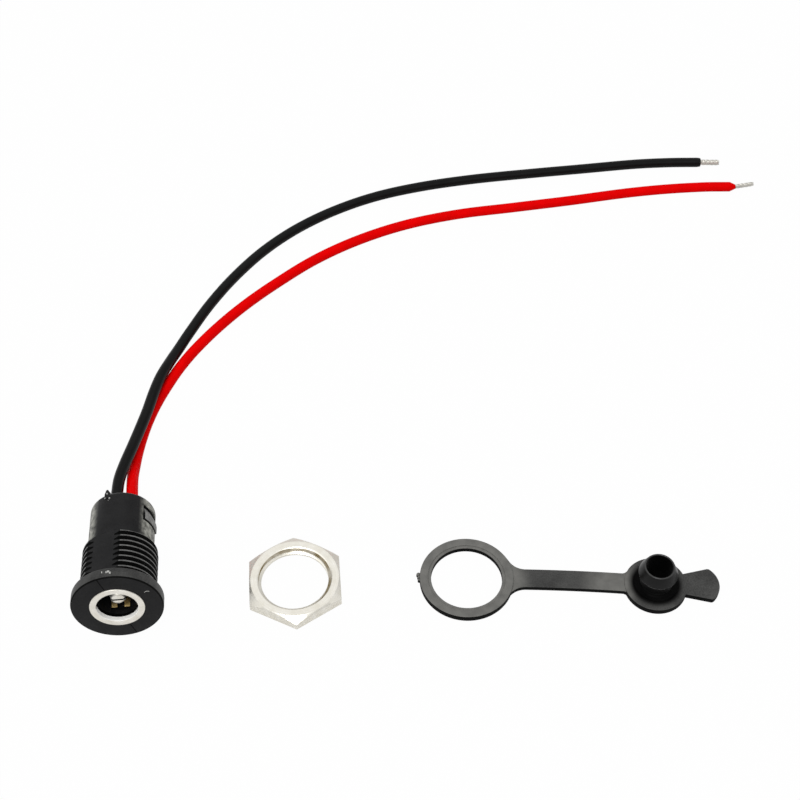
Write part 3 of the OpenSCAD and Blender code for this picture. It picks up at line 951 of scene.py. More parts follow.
@dataclass
class Socket:
    """The socket: the moulding with its thread, its contacts and the rear cover.

    A burr is a roll, a height, a width and a reach.
    A fleck is a place across and along the gate, and a size.
    """

    flange_r: float = 6.8
    flange_t: float = 1.9
    flange_edge: float = 0.25
    thread_r: float = 5.7
    thread_root: float = 5.27
    thread_end: float = 10.6
    thread_chamfer: float = 0.4
    thread_bite: float = 0.05
    thread_wall: float = 0.1
    crest_ease: float = 0.03
    tooth_shares: tuple[float, float, float] = (0.13, 0.38, 0.43)
    pitch: float = 1.0
    flat_r: float = 5.0
    parting_turn: float = -21.0
    knit_turn: float = -18.0
    stub_r: float = 4.1
    stub_end: float = 17.2
    cavity_r: float = 3.35
    cover_r: float = 5.0
    cover_bore: float = 4.15
    cover_start: float = 10.65
    cover_floor: float = 17.9
    cover_edge: float = 0.8
    cover_lip: float = 0.1
    length: float = 19.0
    latch_turn: float = 74.0
    lug_start: float = 14.35
    lug_l: float = 2.65
    lug_land: float = 1.2
    lug_low: float = 0.5
    lug_w: float = 3.9
    lug_root: float = 0.3
    lug_round: float = 0.14
    lug_proud: float = 0.25
    far_lug_proud: float = 0.03
    window_gap: float = 0.3
    bore_r: float = 3.05
    bore_l: float = 10.0
    floor_back: float = 12.2
    ring_r: float = 4.05
    ring_seat: float = 1.2
    ring_proud: float = 0.15
    ring_bright: float = 0.65
    ring_lip: float = 0.14
    ring_edge: float = 0.1
    pin_r: float = 1.2
    pin_tip: float = 1.4
    shank_r: float = 0.75
    tail_r: float = 0.45
    tail_end: float = 15.2
    tail_y: float = 0.525
    tail_w: float = 0.7
    slit_w: float = 0.3
    slit_l: float = 3.0
    leaf_w: float = 2.8
    leaf_t: float = 0.25
    leaf_y: float = 3.2
    leaf_rise: float = 0.9
    leaf_start: float = 0.4
    leaf_tip: float = 2.4
    leaf_crown: float = 1.8
    leaf_heel: float = 7.8
    leaf_bend: float = 12.5
    leaf_edge: float = 0.04
    fork_w: float = 1.0
    groove_r: float = 3.5
    groove_lead: float = 0.4
    slot_gap: float = 0.05
    slot_reach: float = 0.9
    slot_under: float = 0.1
    slot_above: float = 0.2
    cut_over: float = 0.5
    lead_x: float = 1.3
    lead_hole_r: float = 1.15
    gate_inset: float = 0.35
    gate_setback: float = 1.1
    gate_lean: float = 17.0
    gate_h: float = 1.7
    gate_foot: tuple[Point2, ...] = ((0.0, -0.05), (0.62, 0.0), (0.6, 0.5), (0.48, 0.95), (0.3, 1.35))
    gate_tip: Point2 = (0.16, 0.1)
    gate_ripple: float = 0.1
    gate_waves: float = 9.0
    gate_flat: float = 0.8
    fleck_outline: tuple[Point2, ...] = ((0.0, -1.0), (1.0, -0.3), (0.6, 1.0), (0.0, 1.3))
    fleck_y: float = -0.42
    flecks: tuple[Point3, ...] = (
        (0.12, 0.75, 0.13),
        (-0.3, 0.1, 0.12),
        (0.42, -0.15, 0.16),
        (0.2, -0.5, 0.12),
    )
    burrs: tuple[tuple[float, float, float, float], ...] = (
        (-3.0, 1.2, 0.34, 0.12),
        (-5.4, 1.1, 0.16, 0.13),
        (-0.9, 0.95, 0.22, 0.08),
        (-11.0, 1.25, 0.14, 0.06),
    )
    burr_root: float = 0.2
    burr_shoulder: float = 0.4
    burr_heights: tuple[float, ...] = (-0.22, -0.3, 0.02, 0.3)
    burr_seen: float = 0.005
    scratch_r: float = 0.45
    scratch_w: float = 0.12
    scratch_at: Point2 = (4.75, -2.7)
    scratch_z: Point2 = (-0.012, 0.01)
    scratch_arc: Point2 = (200.0, 320.0)
    scratch_trim: float = 10.0
    scratch_seen: float = 0.004
    face_seen: float = 0.9
    edge_seen: float = 0.25
    rear_zone: float = 1.0
    lug_zone: float = 0.3
    root_zone: float = 0.2
    crest_zone: float = 0.04
    lip_zone: float = 0.06
    slit_zone: float = 0.002
    placement: Placement = Placement((-41.8, -9.5, 6.9398), turn=5.5, tip=-96.1961)

    @property
    def place(self) -> Matrix:
        """The matrix from the socket's own frame to the shared frame."""
        return self.placement.matrix

    def at(self, x: float, z: float) -> Vector:
        """The place in metres of a point x beside the axis and z along it."""
        return self.place @ Vector((x, 0.0, z))

    def build(self, palette: Palette) -> None:
        """Makes all the pieces of the socket.

        Args:
            palette: The shared materials.
        """
        self._moulding(palette)
        self._cover(palette)
        self._ring(palette)
        self._pin(palette)
        self._spring(palette)

    def _across(self, outline: Sequence[Point2], width: float, x: float = 0.0) -> Shape:
        """A prism across X of an outline of (y, z) points, centred on x."""
        turned = Matrix(((0, 0, 1, 0), (1, 0, 0, 0), (0, 1, 0, 0), (0, 0, 0, 1)))
        return Shape().prism(outline, x - width / 2, x + width / 2).moved(turned)

    def _body(self) -> Shape:
        """The flange, the bore with its floor and the rear stub.

        Returns:
            The shape, with the spring's groove and the slot through the floor cut out.
        """
        edge, inner = self.flange_edge, self.flange_r - self.flange_edge
        outline = [
            (self.ring_r, 0.0),
            *arc((inner, edge), edge, -90, 0),
            *arc((inner, self.flange_t - edge), edge, 0, 90),
            (self.stub_r, self.flange_t),
            (self.stub_r, self.stub_end),
            (self.cavity_r, self.stub_end),
            (self.cavity_r, self.floor_back),
            (self.shank_r, self.floor_back),
            (self.shank_r, self.bore_l),
            (self.bore_r, self.bore_l),
            (self.bore_r, self.ring_seat),
            (self.ring_r, self.ring_seat),
        ]
        in_bore, in_cavity = self.bore_r - 2.0 * self.cut_over, self.cavity_r - self.slot_reach
        front, foot = self.leaf_tip - self.groove_lead, self.leaf_bend + self.slot_gap
        under, above = self.floor_back - self.slot_under, self.bore_l + self.slot_above
        slot = self.leaf_y - self.slot_gap
        way = [
            (in_bore, front),
            (self.groove_r, front),
            (self.groove_r, foot),
            (in_cavity, foot),
            (in_cavity, under),
            (slot, under),
            (slot, above),
            (in_bore, above),
        ]
        return Shape().lathe(outline, steps=160).carve(self._across(way, self.leaf_w + 2.0 * self.slot_gap))

    def _thread(self) -> Shape:
        """The helical thread, with its end chamfer and the two flats cut across it.

        Returns:
            A closed shell, a little way into the flange and round the stub.
        """
        root, crest, shoulder = self.thread_root, self.thread_r, self.thread_r - self.crest_ease
        foot, ease, top = self.tooth_shares
        tooth = mirrored([(root, 0.0), (root, foot), (shoulder, ease), (crest, top)])
        turns = math.ceil((self.thread_end - self.flange_t) / self.pitch) + 2

        def chamfer(point: Vector) -> Vector:
            """Draws a point in to the end chamfer.

            Args:
                point: A point of the thread.

            Returns:
                Its new place.
            """
            limit = crest - max(0.0, point.z - self.thread_end + self.thread_chamfer)
            scale = min(1.0, limit / point.xy.length)
            return Vector((point.x * scale, point.y * scale, point.z))

        low, high, inner = self.flange_t - self.thread_bite, self.thread_end, self.stub_r - self.thread_wall
        wall = Shape().helix(tooth, self.pitch, self.flange_t - 2.0 * self.pitch, turns).bend(chamfer)
        wall.trim(UP * low, -UP).trim(UP * high, UP)
        wall.lathe([(inner, low), (inner, high)], 64, closed=False).cap_ring(low).cap_ring(high)
        for out in (self._flat_normal(), -self._flat_normal()):
            wall.trim(out * self.flat_r, out, fill=True)
        return wall

    def _flat_normal(self) -> Vector:
        """The direction that the upper flat faces."""
        turn = math.radians(self.parting_turn)
        return Vector((math.sin(turn), -math.cos(turn), 0.0))

    def _lug(self, roll: float, reach: float) -> Shape:
        """One latch lug: a steep front, a land that follows the cover's curve and a ramp to the rear.

        Args:
            roll: The lug's turn from the top.
            reach: The land's distance from the axis.

        Returns:
            The lug.
        """
        start, end, root = self.lug_start, self.lug_start + self.lug_l, self.cavity_r + self.lug_root
        half = math.degrees(math.asin(self.lug_w / 2 / self.cover_r))
        front = [(root, start), (reach, start), (reach, start + self.lug_land)]
        profile = [*front, (self.stub_r + self.lug_low, end), (root, end)]
        rings = []
        for i in range(13):
            a = math.radians(roll + half * (i / 6.0 - 1.0))
            rings.append([(r * math.sin(a), -r * math.cos(a), z) for r, z in profile])
        return Shape().loft(rings).soften(self.lug_round)

    def _nick(self) -> Shape:
        """The torn burr that the mould's parting line left on the flange's rim.

        Returns:
            The burr's lumps.
        """
        shape = Shape()
        over = Matrix.Scale(-1.0, 4, Vector((0, 1, 0)))
        for roll, z, width, reach in self.burrs:
            outs = (-self.burr_root, reach * self.burr_shoulder, reach, -self.burr_root)
            burr = self._across(list(zip(outs, self.burr_heights)), width)
            burr.moved(spun(roll) @ Matrix.Translation((0.0, -self.flange_r, z)) @ over)
            bmesh.ops.recalc_face_normals(burr.bm, faces=burr.bm.faces)
            shape.absorb(burr)
        return shape

    def _scratch(self) -> Shape:
        """A short pale scratch on the flange's face, curled up at its edge."""
        (start, end), trim = self.scratch_arc, self.scratch_trim
        outer = arc((0.0, 0.0), self.scratch_r, start, end)
        inner = arc((0.0, self.scratch_w), self.scratch_r, end - trim, start + trim)
        return Shape().prism([*outer, *inner], *self.scratch_z).shifted(*self.scratch_at, 0.0)

    def _moulding(self, palette: Palette) -> None:
        """Makes the moulding.

        Args:
            palette: The shared materials.
        """
        shape = self._body().absorb(
            self._thread(),
            self._lug(self.latch_turn, self.cover_r + self.lug_proud),
            self._lug(self.latch_turn + 180.0, self.cover_r + self.far_lug_proud),
            self._nick(),
            self._scratch(),
        )
        skin = (Coat.PLASTIC, Coat.FLANGE_FACE, Coat.TORN, Coat.RIM, Coat.CREST, Coat.GROOVE, Coat.LUG)
        piece = shape.as_piece("socket_moulding", self.place, palette, skin, self._zone, crease=24.0)
        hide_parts("socket_body")

    def _zone(self, face: Face) -> Coat:
        """Chooses a face's finish on the moulding.

        Args:
            face: The face, in the socket's own frame.

        Returns:
            The finish.
        """
        middle = face.calc_center_median()
        radius = middle.xy.length
        if middle.z < self.flange_t:
            return self._flange_zone(face, middle)
        if middle.z > self.thread_end + self.rear_zone:
            # Painted reflection on the lugs' outer faces.
            return Coat.LUG if radius > self.cover_r - self.lug_zone else Coat.PLASTIC
        on_flat = abs(abs(middle.dot(self._flat_normal())) - self.flat_r) < SKIN
        if on_flat or middle.z > self.thread_end - SKIN or radius < self.thread_root - self.root_zone:
            return Coat.PLASTIC
        # Painted highlight on the thread's crests, painted shade in its grooves.
        return Coat.CREST if radius > self.thread_r - self.crest_zone else Coat.GROOVE

    def _flange_zone(self, face: Face, middle: Vector) -> Coat:
        """Chooses a face's finish on the flange, with its burrs and its scratch, a painted highlight on the
        rim and painted shade on the face's edge.

        Args:
            face: The face, in the socket's own frame.
            middle: The face's middle.

        Returns:
            The finish.
        """
        radius = middle.xy.length
        if middle.z < -self.scratch_seen:
            return Coat.TORN
        if face.normal.z < -self.face_seen and middle.z < 2.0 * SKIN:
            return Coat.FLANGE_FACE
        if radius > self.flange_r + self.burr_seen:
            return Coat.TORN
        if radius < self.flange_r - self.flange_edge:
            return Coat.PLASTIC
        # Painted shade on the edge rounding that turns to the face, painted highlight on the rest of the
        # rim.
        return Coat.GROOVE if face.normal.z < -self.edge_seen else Coat.RIM

    def _cover(self, palette: Palette) -> None:
        """Makes the rear cover, with its two latch windows and the holes for the leads.

        Args:
            palette: The shared materials.
        """
        edge, lip = self.cover_edge, self.cover_lip
        outline = [
            (self.cover_bore, self.cover_start),
            *arc((self.cover_r - lip, self.cover_start + lip), lip, -90, 0, 3),
            *arc((self.cover_r - edge, self.length - edge), edge, 0, 90, 10),
            (0.0, self.length),
            (0.0, self.cover_floor),
            (self.cover_bore, self.cover_floor),
        ]
        half, low = self.lug_w / 2 + self.window_gap, self.lug_start - self.window_gap
        high = self.lug_start + self.lug_l + self.window_gap
        window = rectangle((-half, -self.cover_r - 1.0), (half, -3.0))
        deep, far = self.cover_floor - self.cut_over, self.length + self.cut_over
        drill = rectangle((0.0, deep), (self.lead_hole_r, far))
        cutters = []
        for turn in (self.latch_turn, self.latch_turn + 180.0):
            cutters.append(Shape().prism(window, low, high).moved(spun(turn)))
        for lead in Lead:
            hole = Shape().lathe(drill, 32, closed=False)
            cutters.append(hole.shifted(lead.value * self.lead_x, 0.0, 0.0))
        skin = (Coat.COVER, Coat.TORN)
        shape = Shape().lathe(outline, steps=144).carve(*cutters).absorb(self._gate(skin.index(Coat.TORN)))
        piece = shape.as_piece("rear_cup", self.place, palette, skin, crease=28.0)
        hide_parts("rear_cover")

    def _gate(self, torn: int) -> Shape:
        """The ragged stub of the gate on the cover's rear edge, with pale torn flecks at its foot.

        Args:
            torn: The number of the flecks' material.

        Returns:
            The stub and its flecks.
        """
        tall = self.gate_h
        base = Matrix.Translation((0.0, -self.cover_r + self.gate_inset, self.length - self.gate_setback))
        lean = Matrix.Rotation(math.radians(self.gate_lean), 4, "X")
        tip_r, tip_l = self.gate_tip
        ripple, waves, flat = self.gate_ripple, self.gate_waves, self.gate_flat
        stub = Shape().lathe([*self.gate_foot, (tip_r, tall - tip_l), (0.0, tall)], 11, closed=False)
        stub.bend(lambda v: Vector((v.x * (1.0 + ripple * math.sin(waves * v.z)), v.y * flat, v.z)))
        for x, z, size in self.flecks:
            lump = [(r * size, rise * size) for r, rise in self.fleck_outline]
            stub.absorb(Shape().lathe(lump, 7, closed=False).shifted(x, self.fleck_y, z).painted(torn))
        return stub.moved(spun(self.parting_turn) @ base @ lean)

    def _ring(self, palette: Palette) -> None:
        """Makes the plated ring round the mouth.

        Args:
            palette: The shared materials.
        """
        face, lip, edge = -self.ring_proud, self.ring_lip, self.ring_edge
        outline = [
            (self.bore_r, self.ring_seat),
            (self.bore_r, self.ring_bright),
            *arc((self.bore_r + lip, face + lip), lip, 180, 270, 4),
            *arc((self.ring_r - edge, face + edge), edge, 270, 360, 4),
            (self.ring_r, self.ring_seat),
        ]
        skin = (Coat.NICKEL, Coat.MATTE_NICKEL, Coat.GROOVE)
        shape = Shape().lathe(outline, steps=160)
        piece = shape.as_piece("contact_ring", self.place, palette, skin, self._ring_zone)
        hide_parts("mouth_ring")

    def _ring_zone(self, face: Face) -> Coat:
        """Chooses a face's finish on the ring: painted light on the lower lip, painted shade on the deeper
        wall and the upper lip.

        Args:
            face: The face, in the socket's own frame.

        Returns:
            The finish.
        """
        middle = face.calc_center_median()
        if middle.xy.length > self.bore_r + self.lip_zone:
            return Coat.NICKEL
        # Painted light on the lower lip, painted shade on the deeper wall and the upper lip.
        return Coat.MATTE_NICKEL if middle.z < self.ring_bright and middle.y > 0.0 else Coat.GROOVE

    def _pin(self, palette: Palette) -> None:
        """Makes the split pin with its domed end, its shank and its tail.

        Args:
            palette: The shared materials.
        """
        dome, half = self.pin_r * 0.5, self.slit_w / 2
        outline = [
            (0.0, self.pin_tip),
            *arc((self.pin_r - dome, self.pin_tip + dome), dome, -90, 0, 8),
            (self.pin_r, self.bore_l),
            (self.shank_r, self.bore_l),
            (self.shank_r, self.floor_back),
            (self.tail_r, self.floor_back),
            (self.tail_r, self.tail_end),
            (0.0, self.tail_end),
        ]
        slit = rectangle((-half, self.pin_tip - self.cut_over), (half, self.pin_tip + self.slit_l))
        shape = Shape().lathe(outline, 64, closed=False).carve(self._across(slit, 4.0 * self.pin_r))

        def zone(face: Face) -> Coat:
            """Chooses a face's finish: painted shade in the slit."""
            off_middle = abs(face.calc_center_median().y)
            return Coat.GROOVE if off_middle < half + self.slit_zone else Coat.NICKEL

        piece = shape.as_piece("split_pin", self.place, palette, (Coat.NICKEL, Coat.GROOVE), zone)
        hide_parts("centre_pin")

    def _leaf_line(self) -> list[Point2]:
        """The inner face of the spring's strip.

        Returns:
            Its (y, z) points from the tip over the crown and the heel to the bend.
        """
        crown = self.leaf_tip + self.leaf_crown
        points = []
        for i in range(9):
            t = i / 8
            share = self.leaf_start + (1.0 - self.leaf_start) * math.sin(t * math.pi / 2)
            rise = self.leaf_rise * share
            points.append((self.leaf_y - rise, self.leaf_tip + self.leaf_crown * t))
        for i in range(1, 13):
            t = i / 12
            fall = 0.5 + 0.5 * math.cos(math.pi * t)
            points.append((self.leaf_y - self.leaf_rise * fall, crown + (self.leaf_heel - crown) * t))
        return [*points, (self.leaf_y, self.leaf_bend)]

    def _spring(self, palette: Palette) -> None:
        """Makes the forked leaf spring with its tail.

        Args:
            palette: The shared materials.
        """
        line, back = self._leaf_line(), self.leaf_y + self.leaf_t
        strip = [*line, *((y + self.leaf_t, z) for y, z in reversed(line))]
        over = 2.0 * self.cut_over
        gap = rectangle((self.bore_r - 2.0 * over, self.leaf_tip - over), (back + over, self.leaf_heel))
        shape = self._across(strip, self.leaf_w).carve(self._across(gap, self.fork_w))
        foot, tail, tail_back = self.leaf_bend - self.leaf_t, self.tail_y, self.tail_y + self.leaf_t
        elbow = [
            (tail, foot),
            (back, foot),
            (back, self.leaf_bend),
            (tail_back, self.leaf_bend),
            (tail_back, self.tail_end),
            (tail, self.tail_end),
        ]
        shape.absorb(self._across(elbow, self.tail_w, self.tail_w / 2 - self.leaf_w / 2))
        shape.soften(self.leaf_edge, 50.0, 1)
        piece = shape.as_piece("forked_leaf", self.place, palette, (Coat.BRONZE,))
        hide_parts("sleeve_spring")


@dataclass
class Wire:
    """One flying lead with its tinned end."""

    lead: Lead
    route: Sequence[Point3]
    end_d: float
    end_l: float
    end_lean: float = 0.0
    tip: float = 0.9
    taper: float = 0.6
    radius: float = 0.95
    inner_end: float = 16.0
    run_out: float = 0.6
    round_steps: int = 7
    span_steps: int = 10
    strands: int = 6
    strand_steps: int = 24
    twist: float = 1.5 * math.pi
    point_from: float = 0.9
    core: float = 0.42

    @property
    def label(self) -> str:
        """The lead's colour in lower case."""
        return self.lead.name.lower()

    def points(self, socket: Socket) -> list[Vector]:
        """All route points: three along the way out of the cover, the listed ones and the taper's start.

        Args:
            socket: The socket that the lead leaves.

        Returns:
            The points in metres.
        """
        x = self.lead.value * socket.lead_x
        depths = (self.inner_end, socket.cover_floor, socket.length + self.run_out)
        laid = [Vector(p) * MM for p in self.route]
        back = (laid[-2] - laid[-1]).normalized() * self.taper * MM
        return [*(socket.at(x, z) for z in depths), *laid[:-1], laid[-1] + back, laid[-1]]

    def build(self, socket: Socket, palette: Palette) -> None:
        """Makes the lead and its tinned end.

        Args:
            socket: The socket that the lead leaves.
            palette: The shared materials.
        """
        points = self.points(socket)
        wire = linked(f"{self.label}_wire", self._curve(points))
        wire.data.materials.append(palette[Coat[f"{self.lead.name}_WIRE"]])
        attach(wire, Body.ROOT.value)
        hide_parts(f"{self.label}_lead")
        end = self._tinned_end(points, palette)

    def _curve(self, points: Sequence[Vector]) -> bpy.types.Curve:
        """The round curve along the route, which tapers at its far end.

        Args:
            points: The route's points in metres.

        Returns:
            The new curve.
        """
        curve = bpy.data.curves.new(f"{self.label}_wire", "CURVE")
        curve.dimensions = "3D"
        curve.bevel_depth = self.radius * MM
        curve.bevel_resolution = self.round_steps
        curve.resolution_u = self.span_steps
        curve.use_fill_caps = True
        spline = curve.splines.new("BEZIER")
        spline.bezier_points.add(len(points) - 1)
        for i, (knot, point) in enumerate(zip(spline.bezier_points, points)):
            before, after = points[max(i - 1, 0)], points[min(i + 1, len(points) - 1)]
            along = (after - before).normalized() / 3.0
            knot.handle_left_type = knot.handle_right_type = "FREE"
            knot.co = point
            knot.handle_left = point - along * (point - before).length
            knot.handle_right = point + along * (after - point).length
        spline.bezier_points[-1].radius = self.tip
        return curve

    def _tinned_end(self, points: Sequence[Vector], palette: Palette) -> bpy.types.Object:
        """Makes the twisted and tinned strands that stand out of the insulation.

        Args:
            points: The route's points in metres.
            palette: The shared materials.

        Returns:
            The new piece.
        """
        strand, core, long = self.end_d / 6.0, self.end_d * self.core, self.end_l
        shape = Shape()
        for k in range(self.strands):
            a = TURN * k / self.strands
            centre = (2.0 * strand * math.cos(a), 2.0 * strand * math.sin(a))
            rings = []
            for i in range(self.strand_steps + 1):
                t = i / self.strand_steps
                twist = Matrix.Rotation(t * self.twist, 4, "Z")
                size = strand * (1.0 - 4.0 * max(0.0, t - self.point_from))
                circle = arc(centre, size, 0, 315, 7)
                rings.append([tuple(twist @ Vector((x, y, t * long))) for x, y in circle])
            shape.loft(rings)
        shape.lathe([(0.0, 0.0), (core, 0.0), (core, long - 0.2), (0.0, long - 0.05)], 24, closed=False)
        lean = Matrix.Rotation(math.radians(self.end_lean), 3, "Z")
        direction = lean @ (points[-1] - points[-2]).normalized()
        turned = direction.to_track_quat("Z", "Y").to_matrix().to_4x4()
        place = Matrix.Translation(points[-1]) @ turned @ Matrix.Scale(MM, 4)
        piece = shape.as_piece(f"{self.label}_strands", place, palette, (Coat.TIN,), crease=50.0)
        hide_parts(f"{self.label}_tinned_end")
        return piece


@dataclass
class PanelNut:
    """The hexagonal panel nut."""

    across_flats: float = 14.0
    thickness: float = 2.0
    face_r: float = 6.8
    bore_r: float = 5.2
    root_r: float = 5.68
    mouth_r: float = 5.8
    mouth_slope: float = 2.0
    land: float = 0.15
    pitch: float = 1.0
    edge: float = 0.07
    edge_shares: Point2 = (0.7, 0.1)
    tooth_shares: Point2 = (0.1, 0.36)
    chamfer: float = 30.0
    placement: Placement = Placement((-16.4, -1.0, 0.0), turn=4.5)

    def build(self, palette: Palette) -> None:
        """Makes the nut.

        Args:
            palette: The shared materials.
        """
        shape = self._outside().absorb(self._thread()).cap_ring(0.0).cap_ring(self.thickness)
        piece = shape.as_piece("panel_nut", self.placement.matrix, palette, (Coat.NUT,), crease=20.0)
        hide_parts("hex_nut")

    def _side_r(self, angle: float) -> float:
        """Distance from the axis to the hexagon in a direction in degrees; corners at 30, 90 and so on."""
        return self.across_flats / 2 / math.cos(math.radians((angle + 30.0) % 60.0 - 30.0))

    def _outside(self) -> Shape:
        """A turned ring whose rim is pulled out to the hexagon, with the round chamfer on its top.

        Returns:
            The shape, open towards the thread.
        """
        top, edge, flat, mouth = self.thickness, self.edge, self.across_flats / 2, self.mouth_r + self.land
        inward, down = (share * edge for share in self.edge_shares)
        side = [(flat - edge, 0.0), (flat, edge), (flat, top - edge), (flat - inward, top - down)]
        outline = [(mouth, 0.0), *side, (self.face_r, top), (mouth, top)]

        def pull(point: Vector) -> Vector:
            """Pulls a point of the rim out to the hexagon, and down under the chamfer.

            Args:
                point: A point of the ring.

            Returns:
                Its new place.
            """
            radius = point.xy.length
            if radius < self.face_r + SKIN:
                return point
            side_r = self._side_r(math.degrees(math.atan2(point.y, point.x)))
            scale = (radius + side_r - flat) / radius
            fall = max(0.0, side_r - self.face_r) * math.tan(math.radians(self.chamfer))
            drop = fall if point.z > top / 2 else 0.0
            return Vector((point.x * scale, point.y * scale, point.z - drop))

        return Shape().lathe(outline, THREAD_STEPS, closed=False).bend(pull)

    def _thread(self) -> Shape:
        """The inner helical thread, opened to the countersinks at both mouths.

        Returns:
            The shape, open at both ends.
        """
        crest, root = self.bore_r, self.root_r
        foot, top = self.tooth_shares
        tooth = mirrored([(root, 0.0), (root, foot), (crest, top)])
        turns = math.ceil(self.thickness / self.pitch) + 2

        def open_up(point: Vector) -> Vector:
            """Draws a point out to the countersink.

            Args:
                point: A point of the thread.

            Returns:
                Its new place.
            """
            near = min(point.z, self.thickness - point.z)
            least = self.mouth_r - min(self.mouth_r - crest, self.mouth_slope * near)
            scale = max(1.0, least / point.xy.length)
            return Vector((point.x * scale, point.y * scale, point.z))

        tube = Shape().helix(tooth, self.pitch, -self.pitch, turns)
        return tube.trim(Vector(), -UP).trim(UP * self.thickness, UP).bend(open_up)


@dataclass
class SealingCap:
    """The rubber cap: a ring, a tether and a disc with a hollow plug and a pull tab, in one moulding.

    A lump of the torn gate is a place along the rim, a reach beyond it and a size.
    """

    ring_r: float = 7.25
    hole_r: float = 5.5
    ring_t: float = 1.2
    ledge_w: float = 0.45
    ledge_drop: float = 0.16
    reach: float = 29.1
    tether_w: float = 3.25
    tether_t: float = 1.0
    tether_in: float = 0.35
    tether_over: float = 0.5
    tether_steps: int = 60
    bow: float = 0.4
    ring_fillet: float = 3.0
    disc_fillet: float = 0.8
    fillet_bite: float = 0.05
    disc_r: float = 4.8
    disc_t: float = 1.15
    plug_h: float = 4.7
    collar_r: float = 3.35
    collar_t: float = 0.4
    collar_fillet: float = 0.25
    neck_r: float = 2.5
    neck_fillet: float = 0.5
    barb_r: float = 3.0
    barb_h: float = 3.0
    barb_round: float = 0.16
    tip_r: float = 2.35
    hollow_r: float = 2.05
    hollow_l: float = 4.2
    tab_reach: float = 9.85
    tab_root: float = 1.95
    tab_end: float = 3.15
    tab_turn: float = 2.5
    tab_nose: float = 3.6
    tab_t: float = 1.1
    tab_in: float = 1.0
    tab_corner: float = 1.05
    round_r: float = 0.14
    ledge_round: tuple[Point2, ...] = ((0.03, 0.04), (0.09, 0.0))
    collar_lap: float = 0.1
    barb_under: float = 0.12
    ring_film: Point2 = (7.2, 10.5)
    tether_film: Point2 = (1.5, 6.0)
    tether_film_back: float = 6.5
    foot_margin: float = 0.3
    lip_zone: float = 0.2
    plug_zone: float = 0.3
    side_seen: float = 0.2
    lump_outline: tuple[Point2, ...] = ((0.0, 0.1), (1.0, 0.12), (0.9, 0.62), (0.4, 0.8), (0.0, 0.82))
    lumps: tuple[Point3, ...] = ((0.55, 0.2, 0.36), (0.05, 0.1, 0.3), (-0.45, 0.05, 0.26))
    placement: Placement = Placement((10.1, -0.3, 0.0), turn=-2.4)

    def build(self, palette: Palette) -> None:
        """Makes the cap.

        Args:
            palette: The shared materials.
        """
        away = Matrix.Translation((self.reach, 0.0, 0.0))
        tab = self._tab().moved(away @ spun(self.tab_turn))
        shape = self._ring().absorb(self._tether(), self._disc().moved(away), tab, self._gate())
        skin = (Coat.RUBBER, Coat.DARK_RUBBER, Coat.SIDE_RUBBER, Coat.PLUG_RUBBER, Coat.LIP_RUBBER)
        piece = shape.as_piece("rubber_cap", self.placement.matrix, palette, skin, self._zone, crease=40.0)
        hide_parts("sealing_cap")

    def _zone(self, face: Face) -> Coat:
        """Chooses a face's finish on the cap.

        Args:
            face: The face, in the cap's own frame.

        Returns:
            The finish.
        """
        middle = face.calc_center_median()
        from_plug = math.hypot(middle.x - self.reach, middle.y)
        # Painted highlight on the lip: a lighter, glossier copy of the plug rubber, on top of the key lamp's
        # own reflection.
        if middle.z > self.disc_t + self.plug_h - self.lip_zone:
            return Coat.LIP_RUBBER if from_plug > self.hollow_r + 2.0 * SKIN else Coat.PLUG_RUBBER
        # Painted shade on the collar round the plug's foot.
        if from_plug < self.collar_r + self.plug_zone and middle.z > self.disc_t + 2.0 * SKIN:
            on_plug = middle.z > self.disc_t + self.collar_t + self.plug_zone
            return Coat.PLUG_RUBBER if on_plug else Coat.DARK_RUBBER
        # Painted shade on the sides and undersides.
        return Coat.SIDE_RUBBER if face.normal.z < self.side_seen else Coat.RUBBER

    def _ring(self) -> Shape:
        """The ring, with a low ledge round its hole.

        Returns:
            The ring.
        """
        r, top, step = self.round_r, self.ring_t, self.hole_r + self.ledge_w
        ledge = top - self.ledge_drop
        outline = [
            (self.hole_r, r),
            *arc((self.hole_r + r, ledge - r), r, 180, 90, 4),
            (step, ledge),
            *((step + out, top - drop) for out, drop in self.ledge_round),
            *arc((self.ring_r - r, top - r), r, 90, 0, 4),
            *arc((self.ring_r - r, r), r, 0, -90, 4),
            (self.hole_r + r, 0.0),
        ]
        return Shape().lathe(outline, steps=160)

    def _half_width(self, x: float) -> float:
        """Half the tether's width, with the fillets at both ends.

        Args:
            x: The distance from the ring's centre.

        Returns:
            Half the width there.
        """
        half = self.tether_w / 2

        def flare(distance: float, radius: float, fillet: float) -> float:
            """Half the width beside a round end.

            Args:
                distance: The distance from the end's centre.
                radius: The end's radius.
                fillet: The radius of the fillets between the end and the tether.

            Returns:
                Half the width there.
            """
            end = math.sqrt((radius + fillet) ** 2 - (half + fillet) ** 2)
            if distance >= end:
                return half
            if distance < end * radius / (radius + fillet):
                return math.sqrt(max(half**2, (radius - self.fillet_bite) ** 2 - distance**2))
            return half + fillet - math.sqrt(fillet**2 - (end - distance) ** 2)

        at_ring = flare(x, self.ring_r, self.ring_fillet)
        return max(at_ring, flare(self.reach - x, self.disc_r, self.disc_fillet))

    def _tether(self) -> Shape:
        """The tether, slightly bowed, from the ring into the disc.

        Returns:
            The tether.
        """
        first, last = self.hole_r + self.tether_in, self.reach - self.disc_r + self.tether_over
        r, top = self.round_r, self.tether_t
        rings = []
        for i in range(self.tether_steps + 1):
            x = first + (last - first) * i / self.tether_steps
            half = self._half_width(x)
            middle = self.bow * (1.0 - ((x - self.reach / 2) / (self.reach / 2)) ** 2)
            section = [
                *arc((-half + r, r), r, 270, 180, 3),
                *arc((-half + r, top - r), r, 180, 90, 3),
                *arc((half - r, top - r), r, 90, 0, 3),
                *arc((half - r, r), r, 0, -90, 3),
            ]
            rings.append([(x, middle + y, z) for y, z in section])
        return Shape().loft(rings)

